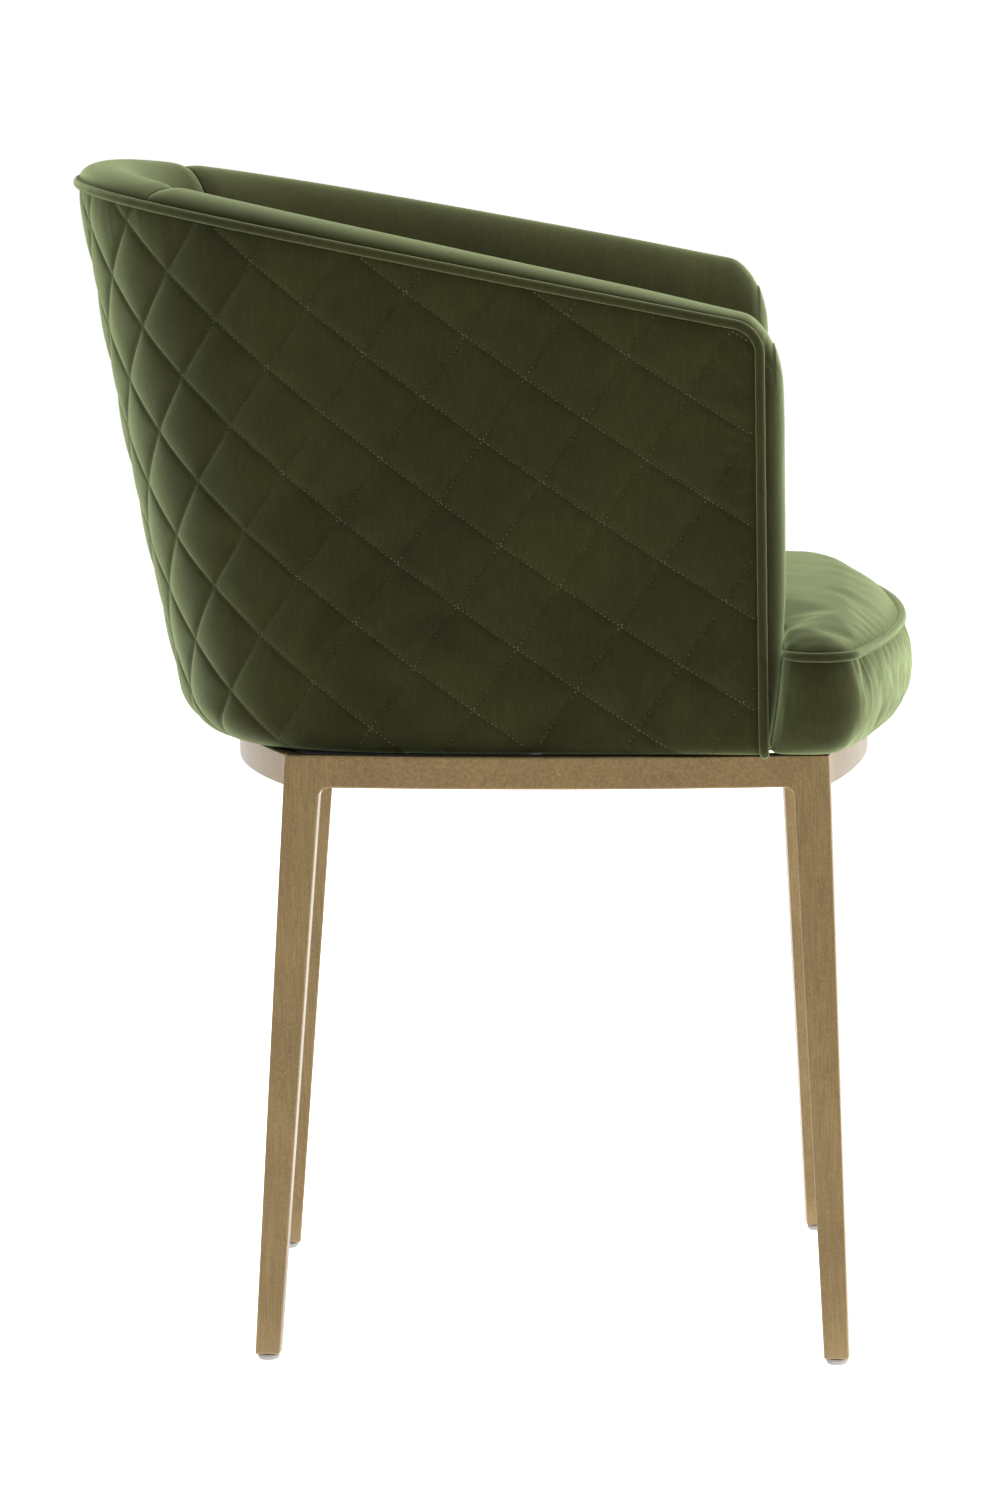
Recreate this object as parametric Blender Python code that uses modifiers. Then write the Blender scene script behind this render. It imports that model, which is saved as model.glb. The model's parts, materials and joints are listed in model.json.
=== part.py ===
"""Tub dining armchair: quilted upholstered back and arms, round-fronted seat, welded brass base.

Metres, +Z up, origin on the floor under the middle of the chair, front towards -Y.
"""
import math
from math import cos, sin, sqrt, radians

import bmesh
import bpy
from mathutils import Matrix

# ---- driving dimensions -------------------------------------------------------------------
GAP = 0.0003                 # clearance between touching pieces
LAYER_GAP = 0.0010           # clearance between the tub's curved layers

GLIDE_HEIGHT = 0.004         # part of a glide below the leg
GLIDE_RADIUS = 0.0074
STEM_RADIUS = 0.0040
STEM_LENGTH = 0.012
FOOT_CHAMFER = 0.0015
BORE_CLEARANCE = 0.002       # past the end of a stem or a bolt

RAIL_TOP = 0.4125
RAIL_HEIGHT = 0.022
RAIL_THICKNESS = 0.015
RAIL_FILLET = 0.007          # weld fillet under a rail's ends
SIDE_RAIL_BOW = 0.012
FRONT_RAIL_FRONT = -0.2525   # foremost point of the front band
REAR_RAIL_BACK = 0.184       # rearmost point of the rear band

LEG_EDGE = 0.0012            # rounding of the legs' edges
RAIL_EDGE = 0.0010           # rounding of the rails' edges
LEG_THICKNESS = 0.015
LEG_TOP_WIDTH = 0.0250
LEG_FOOT_WIDTH = 0.0168
LEG_TOE_IN = radians(5.5)    # the side frames close towards the rear
FRONT_LEG_LEAN = 0.0008      # a front leg's inner face leans this far over the rail's height
BAND_END_GAP = 0.0012        # the bands stop this far short of the legs' tapering faces
FRONT_LEG_TOP = (0.2459, -0.2077)
FRONT_LEG_FOOT = (0.2617, -0.2203)
REAR_LEG_TOP = (0.2131, 0.1329)
REAR_LEG_FOOT = (0.2166, 0.1640)

SHELL_BOTTOM = 0.4140        # lower edge of the tub, on the rails
REFERENCE_HEIGHT = 0.7600    # height at which PLAN_TOP is measured
PLAN_TOP = ((0.0, 0.2834), (0.1990, 0.2834), (0.2140, 0.1058), (0.2915, -0.1780))
PLAN_BOTTOM = ((0.0, 0.2160), (0.2427, 0.2160), (0.2149, 0.1318), (0.2640, -0.1780))
BACK_BOW = 0.003             # outward swell of the tub half way up
BACK_REACH = 0.6             # the back's swell and deep rounding fade out here along the tub
TUCK_REAR = 0.030            # rounding under the tub, at the rear and at the arms
TUCK_SIDE = 0.007
TUCK_SHARE = 0.75            # share of the rounding's radius that the lower edge turns in

SEAM_HEIGHT, SEAM_SLOPE = 0.7345, 0.193      # height of the rim seam = HEIGHT + SLOPE * y
CREST_HEIGHT, CREST_SLOPE = 0.7465, 0.2125   # height of the rolled rim above it
QUILT_THICKNESS = 0.007
PLY_THICKNESS = 0.009
PAD_INNER = 0.048            # inner face of the padding, inboard of the quilted face
PAD_STEP = 0.0012            # the roll's outer face, inboard of the quilted face
WELT_RADIUS = 0.0033
QUILT_FRONT = -0.1708        # front edge of the quilted panel
WELT_FRONT = -0.1755
PLY_FRONT = -0.1720
ARM_CORNER_RADIUS = 0.016
PANEL_SEAM = 0.3125          # place of the two inner seams along the tub, 0 back to 1 front
PANEL_GAP = 0.002            # gap between two pads along the tub
ARM_MIDDLE = 0.56            # height of the middle of an arm's front edge
ARM_TOP = 0.70               # height of its upper end
ARM_FRONT = -0.1918          # foremost point of an arm's front edge
ARM_FOOT_BACK = 0.0124       # how far that edge falls back at its foot
ARM_CORNER_DEPTH = 0.027     # the rim rounds down to it over this depth and height
ARM_CORNER_HEIGHT = 0.052
NOSE_START = -0.1793         # the padding starts to round the front of an arm here
ROLL_RISE = 0.0020           # least height of the roll above the piping
ROLL_FALL = 0.0390           # ... and how far it falls inside
WELT_SINK = 0.0002           # the piping's centre line, inside the tub's face

BOARD_BOTTOM = 0.4149
BOARD_THICKNESS = 0.012
BOARD_TOP = BOARD_BOTTOM + BOARD_THICKNESS
BOARD_THROAT_Y = -0.160      # the board stops following the tub here
BOARD_NOTCH = 0.208          # half width of the board between the fronts of the arms
BOARD_NOTCH_BACK = -0.1700
BOARD_EAR_X = 0.2540
BOARD_EAR_BACK, BOARD_EAR_FRONT = -0.2160, -0.2200
BOARD_FRONT = -0.2540
DUST_COVER = 0.0012
DUST_COVER_INSET = 0.004

SEAT_WELT_HEIGHT = 0.481
WELT_PROUD = 0.0008          # the seat piping's centre line, outside the seat's edge
SEAT_SIDE_CLEARANCE = 0.0045
SEAT_THROAT_Y = -0.165       # the seat stops following the tub here
SEAT_THROAT_FLARE = 0.003
SEAT_EAR_BACK = -0.1930      # the seat widens in front of the arms from here
SEAT_EAR_RADIUS = 0.0225
SEAT_EAR_X = 0.2600
SEAT_FRONT = -0.2765
SEAT_EDGE_TOP = 0.4846       # the top cover's edge, on the piping
EDGE_RISE = 0.0265           # rise of the stuffed edge at the centre line
EDGE_FALLOFF = 0.16          # ... less this much per square metre towards the ears
EDGE_SOFTNESS = 0.018        # how far in from the piping most of that rise takes
CROWN_SLOPE = 0.045          # further rise per metre from the edge
CROWN_CENTRE_Y = -0.2000
COVER_THICKNESS = 0.0025
FOAM_GAP = 0.0030            # between the foam's crown and the cover
# how far in the seat's cover lies: over its top edge, and at each height down its side
TOP_INSETS = (0.0, 0.0035, 0.0080, 0.0140)
SIDE_EDGE = ((0.0000, 0.4772), (-0.0050, 0.4620), (-0.0065, 0.4420), (-0.0030, 0.4280),
             (0.0060, 0.4190), (0.0160, 0.4149))

PLATE_SIZE = 0.034
PLATE_THICKNESS = 0.003
PLATE_FRONT = (0.1860, -0.1950)
PLATE_REAR = (0.1720, 0.1165)
SCREW_RADIUS = 0.003
SCREW_HEAD_RADIUS = 0.0055
SCREW_HEAD_HEIGHT = 0.0033
SCREW_TIP = 0.4240           # height of a screw's end, inside the board
BOLT_RADIUS = 0.0025
BOLT_HEAD_RADIUS = 0.0038
BOLT_HEAD_HEIGHT = 0.0028
BOLT_LENGTH = 0.032
BOLT_RECESS = 0.0042         # depth of a bolt's head below the quilted panel
COUNTERBORE = 0.010
BOLT_PLACES = (0.64, 0.82)   # along each side of the tub
BOLT_HEIGHT = BOARD_BOTTOM + BOARD_THICKNESS / 2

SECTION_ARC = 7              # points on the rolled rim's section
STATION_STEP = 0.0625        # spacing of the tub's sections along it
LEVELS = (0.4195, BOARD_TOP + GAP, 0.4355, 0.4450, 0.5000, 0.5600, 0.6200, 0.6700)
NOSE_SECTIONS = 6
NOSE_TURN = 86.0             # degrees the padding turns round the front of an arm


# ---- scene and materials ------------------------------------------------------------------
for old in list(bpy.data.objects):
    bpy.data.objects.remove(old, do_unlink=True)

parts = bpy.data.collections.new("dining_chair")
cutters = bpy.data.collections.new("cutters")
bpy.context.scene.collection.children.link(parts)
bpy.context.scene.collection.children.link(cutters)


def material(name, color, roughness, metallic=0.0):
    """A Principled material."""
    made = bpy.data.materials.new(name)
    made.use_nodes = True
    shader = made.node_tree.nodes["Principled BSDF"]
    shader.inputs["Base Color"].default_value = (*color, 1.0)
    shader.inputs["Roughness"].default_value = roughness
    shader.inputs["Metallic"].default_value = metallic
    return made


VELVET = material("green_velvet", (0.085, 0.105, 0.045), 0.85)
BRASS = material("antique_brass", (0.30, 0.21, 0.10), 0.38, 1.0)
STEEL = material("zinc_steel", (0.55, 0.55, 0.55), 0.35, 1.0)
NYLON = material("grey_nylon", (0.42, 0.42, 0.41), 0.55)
PLYWOOD = material("plywood", (0.52, 0.38, 0.22), 0.7)
FOAM = material("foam", (0.80, 0.76, 0.60), 0.95)
LINING = material("black_lining", (0.02, 0.02, 0.02), 0.95)


def add_mesh(name, mesh_data, look):
    """Turn a bmesh into a named object with outward faces."""
    bmesh.ops.recalc_face_normals(mesh_data, faces=mesh_data.faces)
    mesh = bpy.data.meshes.new(name)
    mesh_data.to_mesh(mesh)
    mesh_data.free()
    mesh.materials.append(look)
    made = bpy.data.objects.new(name, mesh)
    parts.objects.link(made)
    return made


def smooth(piece, angle=35.0):
    """Shade a piece smooth, but keep its real edges sharp."""
    piece.data.shade_smooth()
    piece.data.set_sharp_from_angle(angle=radians(angle))
    return piece


def loft(name, loops, look):
    """Skin a row of equal loops and cap its ends."""
    work = bmesh.new()
    rows = [[work.verts.new(point) for point in loop] for loop in loops]
    count = len(rows[0])
    for row, following in zip(rows, rows[1:]):
        for i in range(count):
            j = (i + 1) % count
            work.faces.new((row[i], row[j], following[j], following[i]))
    work.faces.new(rows[0])
    work.faces.new(rows[-1])
    return smooth(add_mesh(name, work, look))


def bevel(piece, width, segments=2):
    """Round the sharp edges of a piece."""
    modifier = piece.modifiers.new("edges", "BEVEL")
    modifier.width = width
    modifier.segments = segments
    modifier.limit_method = "ANGLE"
    modifier.angle_limit = radians(40)
    return piece


def cut(piece, cutter):
    """Take a cutter's shape out of a piece."""
    modifier = piece.modifiers.new(cutter.name, "BOOLEAN")
    modifier.operation = "DIFFERENCE"
    modifier.solver = "EXACT"
    modifier.object = cutter


def cylinder_cutter(name, radius, length, place, turn=(0.0, 0.0, 0.0)):
    """A round cutter, centred on place."""
    bpy.ops.mesh.primitive_cylinder_add(vertices=16, radius=radius, depth=length,
                                        location=place, rotation=turn)
    cutter = bpy.context.object
    cutter.name = name
    cutter.hide_render = True
    cutter.display_type = "WIRE"
    for owner in list(cutter.users_collection):
        owner.objects.unlink(cutter)
    cutters.objects.link(cutter)
    return cutter


def turned(name, profile, place, look, turn=(0.0, 0.0, 0.0), steps=16):
    """A turned piece from a (radius, height) profile, top to bottom."""
    mesh = bpy.data.meshes.new(name)
    points = [(radius, 0.0, height) for radius, height in profile]
    mesh.from_pydata(points, [(i, i + 1) for i in range(len(points) - 1)], [])
    mesh.materials.append(look)
    made = bpy.data.objects.new(name, mesh)
    parts.objects.link(made)
    made.location = place
    made.rotation_euler = turn
    screw = made.modifiers.new("turn", "SCREW")
    screw.steps = steps
    screw.render_steps = steps
    screw.use_merge_vertices = True
    screw.merge_threshold = 0.0001
    return made


# ---- the tub's surface --------------------------------------------------------------------
def bezier(points, t):
    """A point on a cubic curve."""
    weights = ((1 - t) ** 3, 3 * t * (1 - t) ** 2, 3 * t * t * (1 - t), t ** 3)
    return tuple(sum(w * p[axis] for w, p in zip(weights, points)) for axis in range(2))


def raw_plan(t, z):
    """Outer face of the tub in plan at height z; t runs from -1 (right arm) to 1 (left arm)."""
    rise = (z - SHELL_BOTTOM) / (REFERENCE_HEIGHT - SHELL_BOTTOM)
    low = bezier(PLAN_BOTTOM, abs(t))
    high = bezier(PLAN_TOP, abs(t))
    x = low[0] + rise * (high[0] - low[0])
    y = low[1] + rise * (high[1] - low[1])
    return math.copysign(x, t), y


def outward(t, z):
    """Horizontal direction out of the tub's face."""
    step = 0.004
    ahead = raw_plan(min(abs(t) + step, 1.0), z)
    behind = raw_plan(max(abs(t) - step, 0.0), z)
    along = (ahead[0] - behind[0], ahead[1] - behind[1])
    length = math.hypot(*along)
    return math.copysign(-along[1] / length, t) if t else 0.0, along[0] / length


def rear_share(t):
    """1 at the middle of the back, falling to 0 at the arms."""
    return max(0.0, 1.0 - (abs(t) / BACK_REACH) ** 2)


def tuck(t, z):
    """How far the face turns in, close to its rounded lower edge."""
    radius = TUCK_SIDE + (TUCK_REAR - TUCK_SIDE) * rear_share(t)
    depth = max(0.0, SHELL_BOTTOM + radius - z)
    return radius - sqrt(max(0.0, radius ** 2 - min(depth, radius) ** 2)) if depth else 0.0


def tub_point(t, z, offset=0.0):
    """A point of the tub at height z, offset outwards (negative is inwards)."""
    rise = (z - SHELL_BOTTOM) / (REFERENCE_HEIGHT - SHELL_BOTTOM)
    swell = BACK_BOW * sin(math.pi * min(max(rise, 0.0), 1.0)) * rear_share(t)
    shift = offset + swell - TUCK_SHARE * tuck(t, z)
    x, y = raw_plan(t, z)
    nx, ny = outward(t, z)
    return x + nx * shift, y + ny * shift, z


def place_at_front(y, z):
    """The place along the tub where its face reaches a given y."""
    low, high = 0.0, 1.3
    for _ in range(30):
        middle = (low + high) / 2
        if raw_plan(middle, z)[1] > y:
            low = middle
        else:
            high = middle
    return low


def seam_height(t):
    """Height of the rim seam."""
    return SEAM_HEIGHT + SEAM_SLOPE * raw_plan(t, SEAM_HEIGHT)[1]


def crest_height(t):
    """Height of the top of the rolled rim."""
    return CREST_HEIGHT + CREST_SLOPE * tub_point(t, SEAM_HEIGHT, -PAD_INNER / 2)[1]


def corner_drop(distance):
    """How far the rim falls, this far behind the front of the arm."""
    short = max(0.0, ARM_CORNER_RADIUS - distance)
    return ARM_CORNER_RADIUS - sqrt(ARM_CORNER_RADIUS ** 2 - min(short, ARM_CORNER_RADIUS) ** 2)


def spread(first, last, count):
    """Evenly spaced numbers, both ends included."""
    return [first + (last - first) * i / (count - 1) for i in range(count)]


def stations(first, last):
    """Places along the tub between two ends, shared by all its layers."""
    step = STATION_STEP
    marks = [i * step for i in range(round(-1 / step), round(1 / step) + 1)]
    return [first] + [t for t in marks if first + step / 4 < t < last - step / 4] + [last]


def heights(bottom, top):
    """Heights of a section's points, shared by all the layers."""
    return [bottom] + [z for z in LEVELS if z > bottom + 0.001] + [top]


# ---- back and arms ------------------------------------------------------------------------
def wall(name, outer, inner, bottom, below_seam, front, look, drop_from=None):
    """A sheet that follows the tub between two offsets, up to just below the rim seam."""
    end = place_at_front(front, ARM_MIDDLE)
    loops = []
    for t in stations(-end, end):
        ahead = raw_plan(t, SEAM_HEIGHT)[1] - (drop_from or front)
        levels = heights(bottom, seam_height(t) - below_seam - corner_drop(ahead))
        loop = [tub_point(t, z, outer) for z in levels]
        loop += [tub_point(t, z, inner) for z in reversed(levels)]
        loops.append(loop)
    return loft(name, loops, look)


def pad_section(t, outer_offset, bottom, squeeze=1.0, drop=0.0):
    """Closed section of the padding: up the outside, over the roll, down the inside."""
    crest = crest_height(t) - drop
    start = min(seam_height(t) - drop / 2 + WELT_RADIUS + GAP, crest - ROLL_RISE)
    middle = -PAD_INNER / 2
    half = (PAD_INNER / 2 - PAD_STEP) * squeeze
    wall_edge = middle + (outer_offset - middle) * squeeze
    shrink = min(1.0, (start - GAP - bottom) / (LEVELS[-1] - bottom))
    levels = [bottom + (z - bottom) * shrink for z in (bottom, *LEVELS[2:])]
    loop = [(wall_edge, z) for z in levels] + [(wall_edge, start - GAP / 2)]
    for i in range(SECTION_ARC + 1):
        angle = math.pi * i / SECTION_ARC
        height = start + (crest - start) * sin(angle)
        if angle > math.pi / 2:
            height = crest - ROLL_FALL * (1 - sin(angle))
        loop.append((middle + half * cos(angle), height))
    loop += [(middle - half, z) for z in levels[-2::-1]]
    return [tub_point(t, z, offset) for offset, z in loop]


def nose_y(z):
    """Front edge of the arm in side view: upright, then falling back towards the rail."""
    below = max(0.0, ARM_MIDDLE - z) / (ARM_MIDDLE - SHELL_BOTTOM)
    return ARM_FRONT + ARM_FOOT_BACK * below ** 2.5


def arm_drop(y):
    """How far the rim has rounded down towards the front of the arm, at y."""
    share = min(max(0.0, ARM_FRONT + ARM_CORNER_DEPTH - y) / ARM_CORNER_DEPTH, 1.0)
    return ARM_CORNER_HEIGHT * (1 - sqrt(1 - share ** 2))


def padding_nose(side):
    """Sections of the padding round the front edge of one arm."""
    loops = []
    for i in range(NOSE_SECTIONS):
        turn = radians(NOSE_TURN) * i / (NOSE_SECTIONS - 1)
        forward = (ARM_FRONT - NOSE_START) * sin(turn)
        t = place_at_front(NOSE_START + forward / 2, ARM_MIDDLE)
        section = pad_section(side * t, -PAD_STEP, SHELL_BOTTOM, cos(turn),
                              arm_drop(NOSE_START + forward))
        loops.append([(x, NOSE_START + (nose_y(z) - NOSE_START) * sin(turn), z)
                      for x, _, z in section])
    return loops


def padding_stretch(first, last):
    """Sections of the padding clear of the arms' fronts."""
    return [pad_section(t, -(QUILT_THICKNESS + PLY_THICKNESS + 2 * LAYER_GAP), BOARD_TOP + GAP,
                        drop=arm_drop(raw_plan(t, SEAM_HEIGHT)[1]))
            for t in stations(first, last)]


def padding_side(name, side):
    """The padding of one arm, from the inner seam to round its front edge."""
    end = place_at_front(NOSE_START + GAP, ARM_MIDDLE)
    corner = place_at_front(ARM_FRONT + ARM_CORNER_DEPTH, ARM_MIDDLE)
    run = padding_stretch(PANEL_SEAM + PANEL_GAP, corner) + padding_stretch(corner, end)[1:]
    if side < 0:
        run = [[(-x, y, z) for x, y, z in section] for section in run]
    return loft(name, run + padding_nose(side), VELVET)


def tube(name, points, radius, look, cyclic=False):
    """A round cord along a row of points."""
    data = bpy.data.curves.new(name, "CURVE")
    data.dimensions = "3D"
    spline = data.splines.new("POLY")
    spline.points.add(len(points) - 1)
    for target, point in zip(spline.points, points):
        target.co = (*point, 1.0)
    spline.use_cyclic_u = cyclic
    data.bevel_depth = radius
    data.bevel_resolution = 1
    data.use_fill_caps = not cyclic
    data.materials.append(look)
    made = bpy.data.objects.new(name, data)
    parts.objects.link(made)
    return made


def back_welt_path():
    """Piping centre line: up one arm's front edge, round the rim, down the other."""
    front = place_at_front(WELT_FRONT, ARM_MIDDLE)
    corner = ARM_CORNER_RADIUS
    half = []
    for t in spread(0.0, place_at_front(WELT_FRONT + corner, ARM_TOP), 16):
        half.append(tub_point(t, seam_height(t), -WELT_SINK))
    top = seam_height(front) - corner
    for i in range(1, 4):
        angle = radians(90) * i / 4
        t = place_at_front(WELT_FRONT + corner * (1 - sin(angle)), ARM_TOP)
        half.append(tub_point(t, top + corner * cos(angle), -WELT_SINK))
    for z in spread(top, SHELL_BOTTOM + 0.004, 7):
        half.append(tub_point(place_at_front(WELT_FRONT, z), z, -WELT_SINK))
    other = [(-x, y, z) for x, y, z in half[:0:-1]]
    return other + half


def build_tub():
    """Quilted panel, plywood tub, padding and piping."""
    wall("quilted_cover", 0.0, -QUILT_THICKNESS, SHELL_BOTTOM, WELT_RADIUS + 2 * LAYER_GAP,
         QUILT_FRONT, VELVET, drop_from=WELT_FRONT + 0.001)
    ply_outer = -(QUILT_THICKNESS + LAYER_GAP)
    shell = wall("back_shell", ply_outer, ply_outer - PLY_THICKNESS, SHELL_BOTTOM,
                 WELT_RADIUS, PLY_FRONT, PLYWOOD)
    loft("inner_pad_center", padding_stretch(-PANEL_SEAM, PANEL_SEAM), VELVET)
    padding_side("inner_pad_left", 1)
    padding_side("inner_pad_right", -1)
    tube("back_welt", back_welt_path(), WELT_RADIUS, VELVET)
    return shell


# ---- seat ---------------------------------------------------------------------------------
def mirrored(half):
    """Close an outline from its +X half, which runs from the rear to the front."""
    return half + [(-x, y) for x, y in reversed(half) if abs(x) > 0.0001]


def front_bow(edge, middle):
    """Points of a bowed front edge, from beside its corner to the centre line."""
    return [(edge[0] * share, middle + (edge[1] - middle) * share ** 2)
            for share in (0.75, 0.5, 0.25, 0.0)]


def seat_front(inset, back_inset=None):
    """The seat's outline in front of the arms, from the inside of an ear to the centre line."""
    radius = SEAT_EAR_RADIUS - inset
    back_depth = SEAT_EAR_RADIUS - (inset if back_inset is None else back_inset)
    centre = SEAT_EAR_BACK - SEAT_EAR_RADIUS
    points = []
    for i in range(7):
        angle = radians(90 - 28 * i)
        depth = back_depth if angle > 0 else radius
        points.append((SEAT_EAR_X + radius * cos(angle), centre + depth * sin(angle)))
    return points + front_bow(points[-1], SEAT_FRONT + inset)


def seat_rear(inset):
    """The seat's outline along the padding, from the middle of the back to the throat."""
    offset = -(PAD_INNER + SEAT_SIDE_CLEARANCE + inset)
    return [tub_point(t, LEVELS[1], offset)[:2]
            for t in spread(0.0, place_at_front(SEAT_THROAT_Y, LEVELS[1]), 11)]


def seat_outline(inset):
    """The seat's outline: inside the tub, then out to the ears and round the front."""
    rear = seat_rear(inset)
    rear.append((rear[-1][0] + SEAT_THROAT_FLARE, SEAT_EAR_BACK - inset))
    return mirrored(rear + seat_front(inset))


def board_outline(inset):
    """The board: out to the plywood tub, notched at the arms, and under the seat's front."""
    offset = -(QUILT_THICKNESS + PLY_THICKNESS + 2 * LAYER_GAP + inset)
    rear = [tub_point(t, SHELL_BOTTOM, offset)[:2]
            for t in spread(0.0, place_at_front(BOARD_THROAT_Y, SHELL_BOTTOM), 11)]
    back = BOARD_NOTCH_BACK + inset
    edge = (BOARD_EAR_X - inset, BOARD_EAR_FRONT + inset)
    notch = [(rear[-1][0], back), (BOARD_NOTCH - inset, back),
             (BOARD_NOTCH - inset, BOARD_EAR_BACK), (edge[0], BOARD_EAR_BACK), edge]
    return mirrored(rear + notch + front_bow(edge, BOARD_FRONT + inset))


def plate(name, outline, bottom, thickness, look):
    """A flat panel cut to an outline."""
    return loft(name, [[(x, y, bottom) for x, y in outline],
                       [(x, y, bottom + thickness) for x, y in outline]], look)


def level(outline, z):
    """An outline at a height."""
    return [(x, y, z) for x, y in outline]


def line_distance(x, y, line):
    """Distance from a place to a row of straight stretches."""
    nearest = math.inf
    for (start_x, start_y), (end_x, end_y) in zip(line, line[1:]):
        run_x, run_y = end_x - start_x, end_y - start_y
        share = ((x - start_x) * run_x + (y - start_y) * run_y) / (run_x ** 2 + run_y ** 2)
        share = min(max(share, 0.0), 1.0)
        nearest = min(nearest, math.hypot(x - start_x - share * run_x, y - start_y - share * run_y))
    return nearest


def crown_height(x, y):
    """Height of the seat's top, from its distance to the piping round its front and rear."""
    edge = min(line_distance(abs(x), y, line) for line in (seat_rear(0.0), seat_front(0.0)[2:]))
    rise = (EDGE_RISE - EDGE_FALLOFF * x ** 2) * (1 - math.exp(-edge / EDGE_SOFTNESS))
    return SEAT_EDGE_TOP + rise + CROWN_SLOPE * edge


def crown_loops(inset, drop):
    """Rings over the seat's stuffed edge and its crown."""
    rings = [seat_outline(inset + step) for step in TOP_INSETS]
    for share in (0.85, 0.62, 0.36):
        rings.append([(x * share, CROWN_CENTRE_Y + (y - CROWN_CENTRE_Y) * share)
                      for x, y in rings[len(TOP_INSETS) - 1]])
    edge = level(rings[0], SEAT_EDGE_TOP)
    return [edge] + [[(x, y, crown_height(x, y) - drop) for x, y in ring] for ring in rings[1:]]


def build_seat():
    """Board, dust cover, foam, top cover, side band and piping."""
    board = plate("seat_board", board_outline(0.0), BOARD_BOTTOM, BOARD_THICKNESS, PLYWOOD)
    dust = plate("dust_cover", board_outline(DUST_COVER_INSET), RAIL_TOP + GAP, DUST_COVER, LINING)

    skin = COVER_THICKNESS
    loft("seat_top_cover", crown_loops(skin, skin)[::-1] + crown_loops(0.0, 0.0), VELVET)
    core = 2 * skin + LAYER_GAP
    foam = [level(seat_outline(core), BOARD_TOP + GAP)]
    loft("seat_foam", foam + crown_loops(core, skin + FOAM_GAP), FOAM)

    welt = level(seat_outline(-WELT_PROUD), SEAT_WELT_HEIGHT)
    tube("seat_welt", welt, WELT_RADIUS - WELT_SINK, VELVET, cyclic=True)

    strips = [level(seat_front(inset, 0.0), z) for inset, z in SIDE_EDGE]
    inside = [level(seat_front(inset + skin, 0.0), z) for inset, z in SIDE_EDGE]
    columns = [[row[i] for row in strips] + [row[i] for row in reversed(inside)]
               for i in range(len(strips[0]))]
    far = [[(-x, y, z) for x, y, z in column] for column in columns[-2::-1]]
    loft("seat_side_band", columns + far, VELVET)
    return board, dust


# ---- base ---------------------------------------------------------------------------------
def leg(name, top, foot, side):
    """A tapered rectangular leg with a bore for its glide."""
    work = bmesh.new()
    bmesh.ops.create_cube(work, size=1.0)
    bottom = GLIDE_HEIGHT + GAP
    turn = LEG_TOE_IN
    for vertex in work.verts:
        upper = vertex.co.z > 0
        width = LEG_TOP_WIDTH if upper else LEG_FOOT_WIDTH
        centre = top if upper else foot
        across = vertex.co.x * LEG_THICKNESS
        along = vertex.co.y * width
        vertex.co.x = side * (centre[0] + across * cos(turn) - along * sin(turn))
        vertex.co.y = centre[1] + across * sin(turn) + along * cos(turn)
        vertex.co.z = RAIL_TOP if upper else bottom
    piece = add_mesh(name, work, BRASS)
    bevel(piece, LEG_EDGE)
    bore = cylinder_cutter(name + "_bore", STEM_RADIUS + GAP, 2 * (STEM_LENGTH + BORE_CLEARANCE),
                           (side * foot[0], foot[1], bottom))
    cut(piece, bore)
    return piece


def glide(name, foot, side):
    """A nylon glide with its stem in the leg."""
    top = GLIDE_HEIGHT
    profile = ((0.0, top + STEM_LENGTH), (STEM_RADIUS, top + STEM_LENGTH), (STEM_RADIUS, top),
               (GLIDE_RADIUS, top), (GLIDE_RADIUS, FOOT_CHAMFER), (GLIDE_RADIUS - FOOT_CHAMFER, 0.0),
               (0.0, 0.0))
    return turned(name, profile, (side * foot[0], foot[1], 0.0), NYLON)


def rail(name, start, end, bow, count=19):
    """A bowed bar of rectangular section, cut square to its chord and filleted at both ends.

    bow is its rise to the right of the way it runs.
    """
    run = (end[0] - start[0], end[1] - start[1])
    total = math.hypot(*run)
    along = (run[0] / total, run[1] / total)
    right = (along[1], -along[0])
    near = [RAIL_FILLET * part for part in (0.0, 0.12, 0.35, 0.65, 1.0)]
    clear = 1.7 * RAIL_FILLET
    middle = [s for s in spread(0.0, total, count) if clear < s < total - clear]
    loops = []
    for s in near + middle + [total - s for s in reversed(near)]:
        share = s / total
        rise = 4 * bow * share * (1 - share)
        slope = 4 * bow * (1 - 2 * share) / total
        half = RAIL_THICKNESS / 2 * sqrt(1 + slope ** 2)
        short = max(0.0, RAIL_FILLET - min(s, total - s))
        fillet = RAIL_FILLET - sqrt(RAIL_FILLET ** 2 - short ** 2)
        low = RAIL_TOP - RAIL_HEIGHT - fillet
        sides = [(start[0] + along[0] * s + right[0] * shift, start[1] + along[1] * s + right[1] * shift)
                 for shift in (rise - half, rise + half)]
        loops.append([(*sides[0], low), (*sides[1], low),
                      (*sides[1], RAIL_TOP), (*sides[0], RAIL_TOP)])
    return bevel(loft(name, loops, BRASS), RAIL_EDGE, 1)


def leg_face(top, ahead, outward_shift):
    """A point beside the top of a +X leg: ahead is along the side frame, towards the front."""
    turn = LEG_TOE_IN
    return (top[0] + ahead * sin(turn) + outward_shift * cos(turn),
            top[1] - ahead * cos(turn) + outward_shift * sin(turn))


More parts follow.
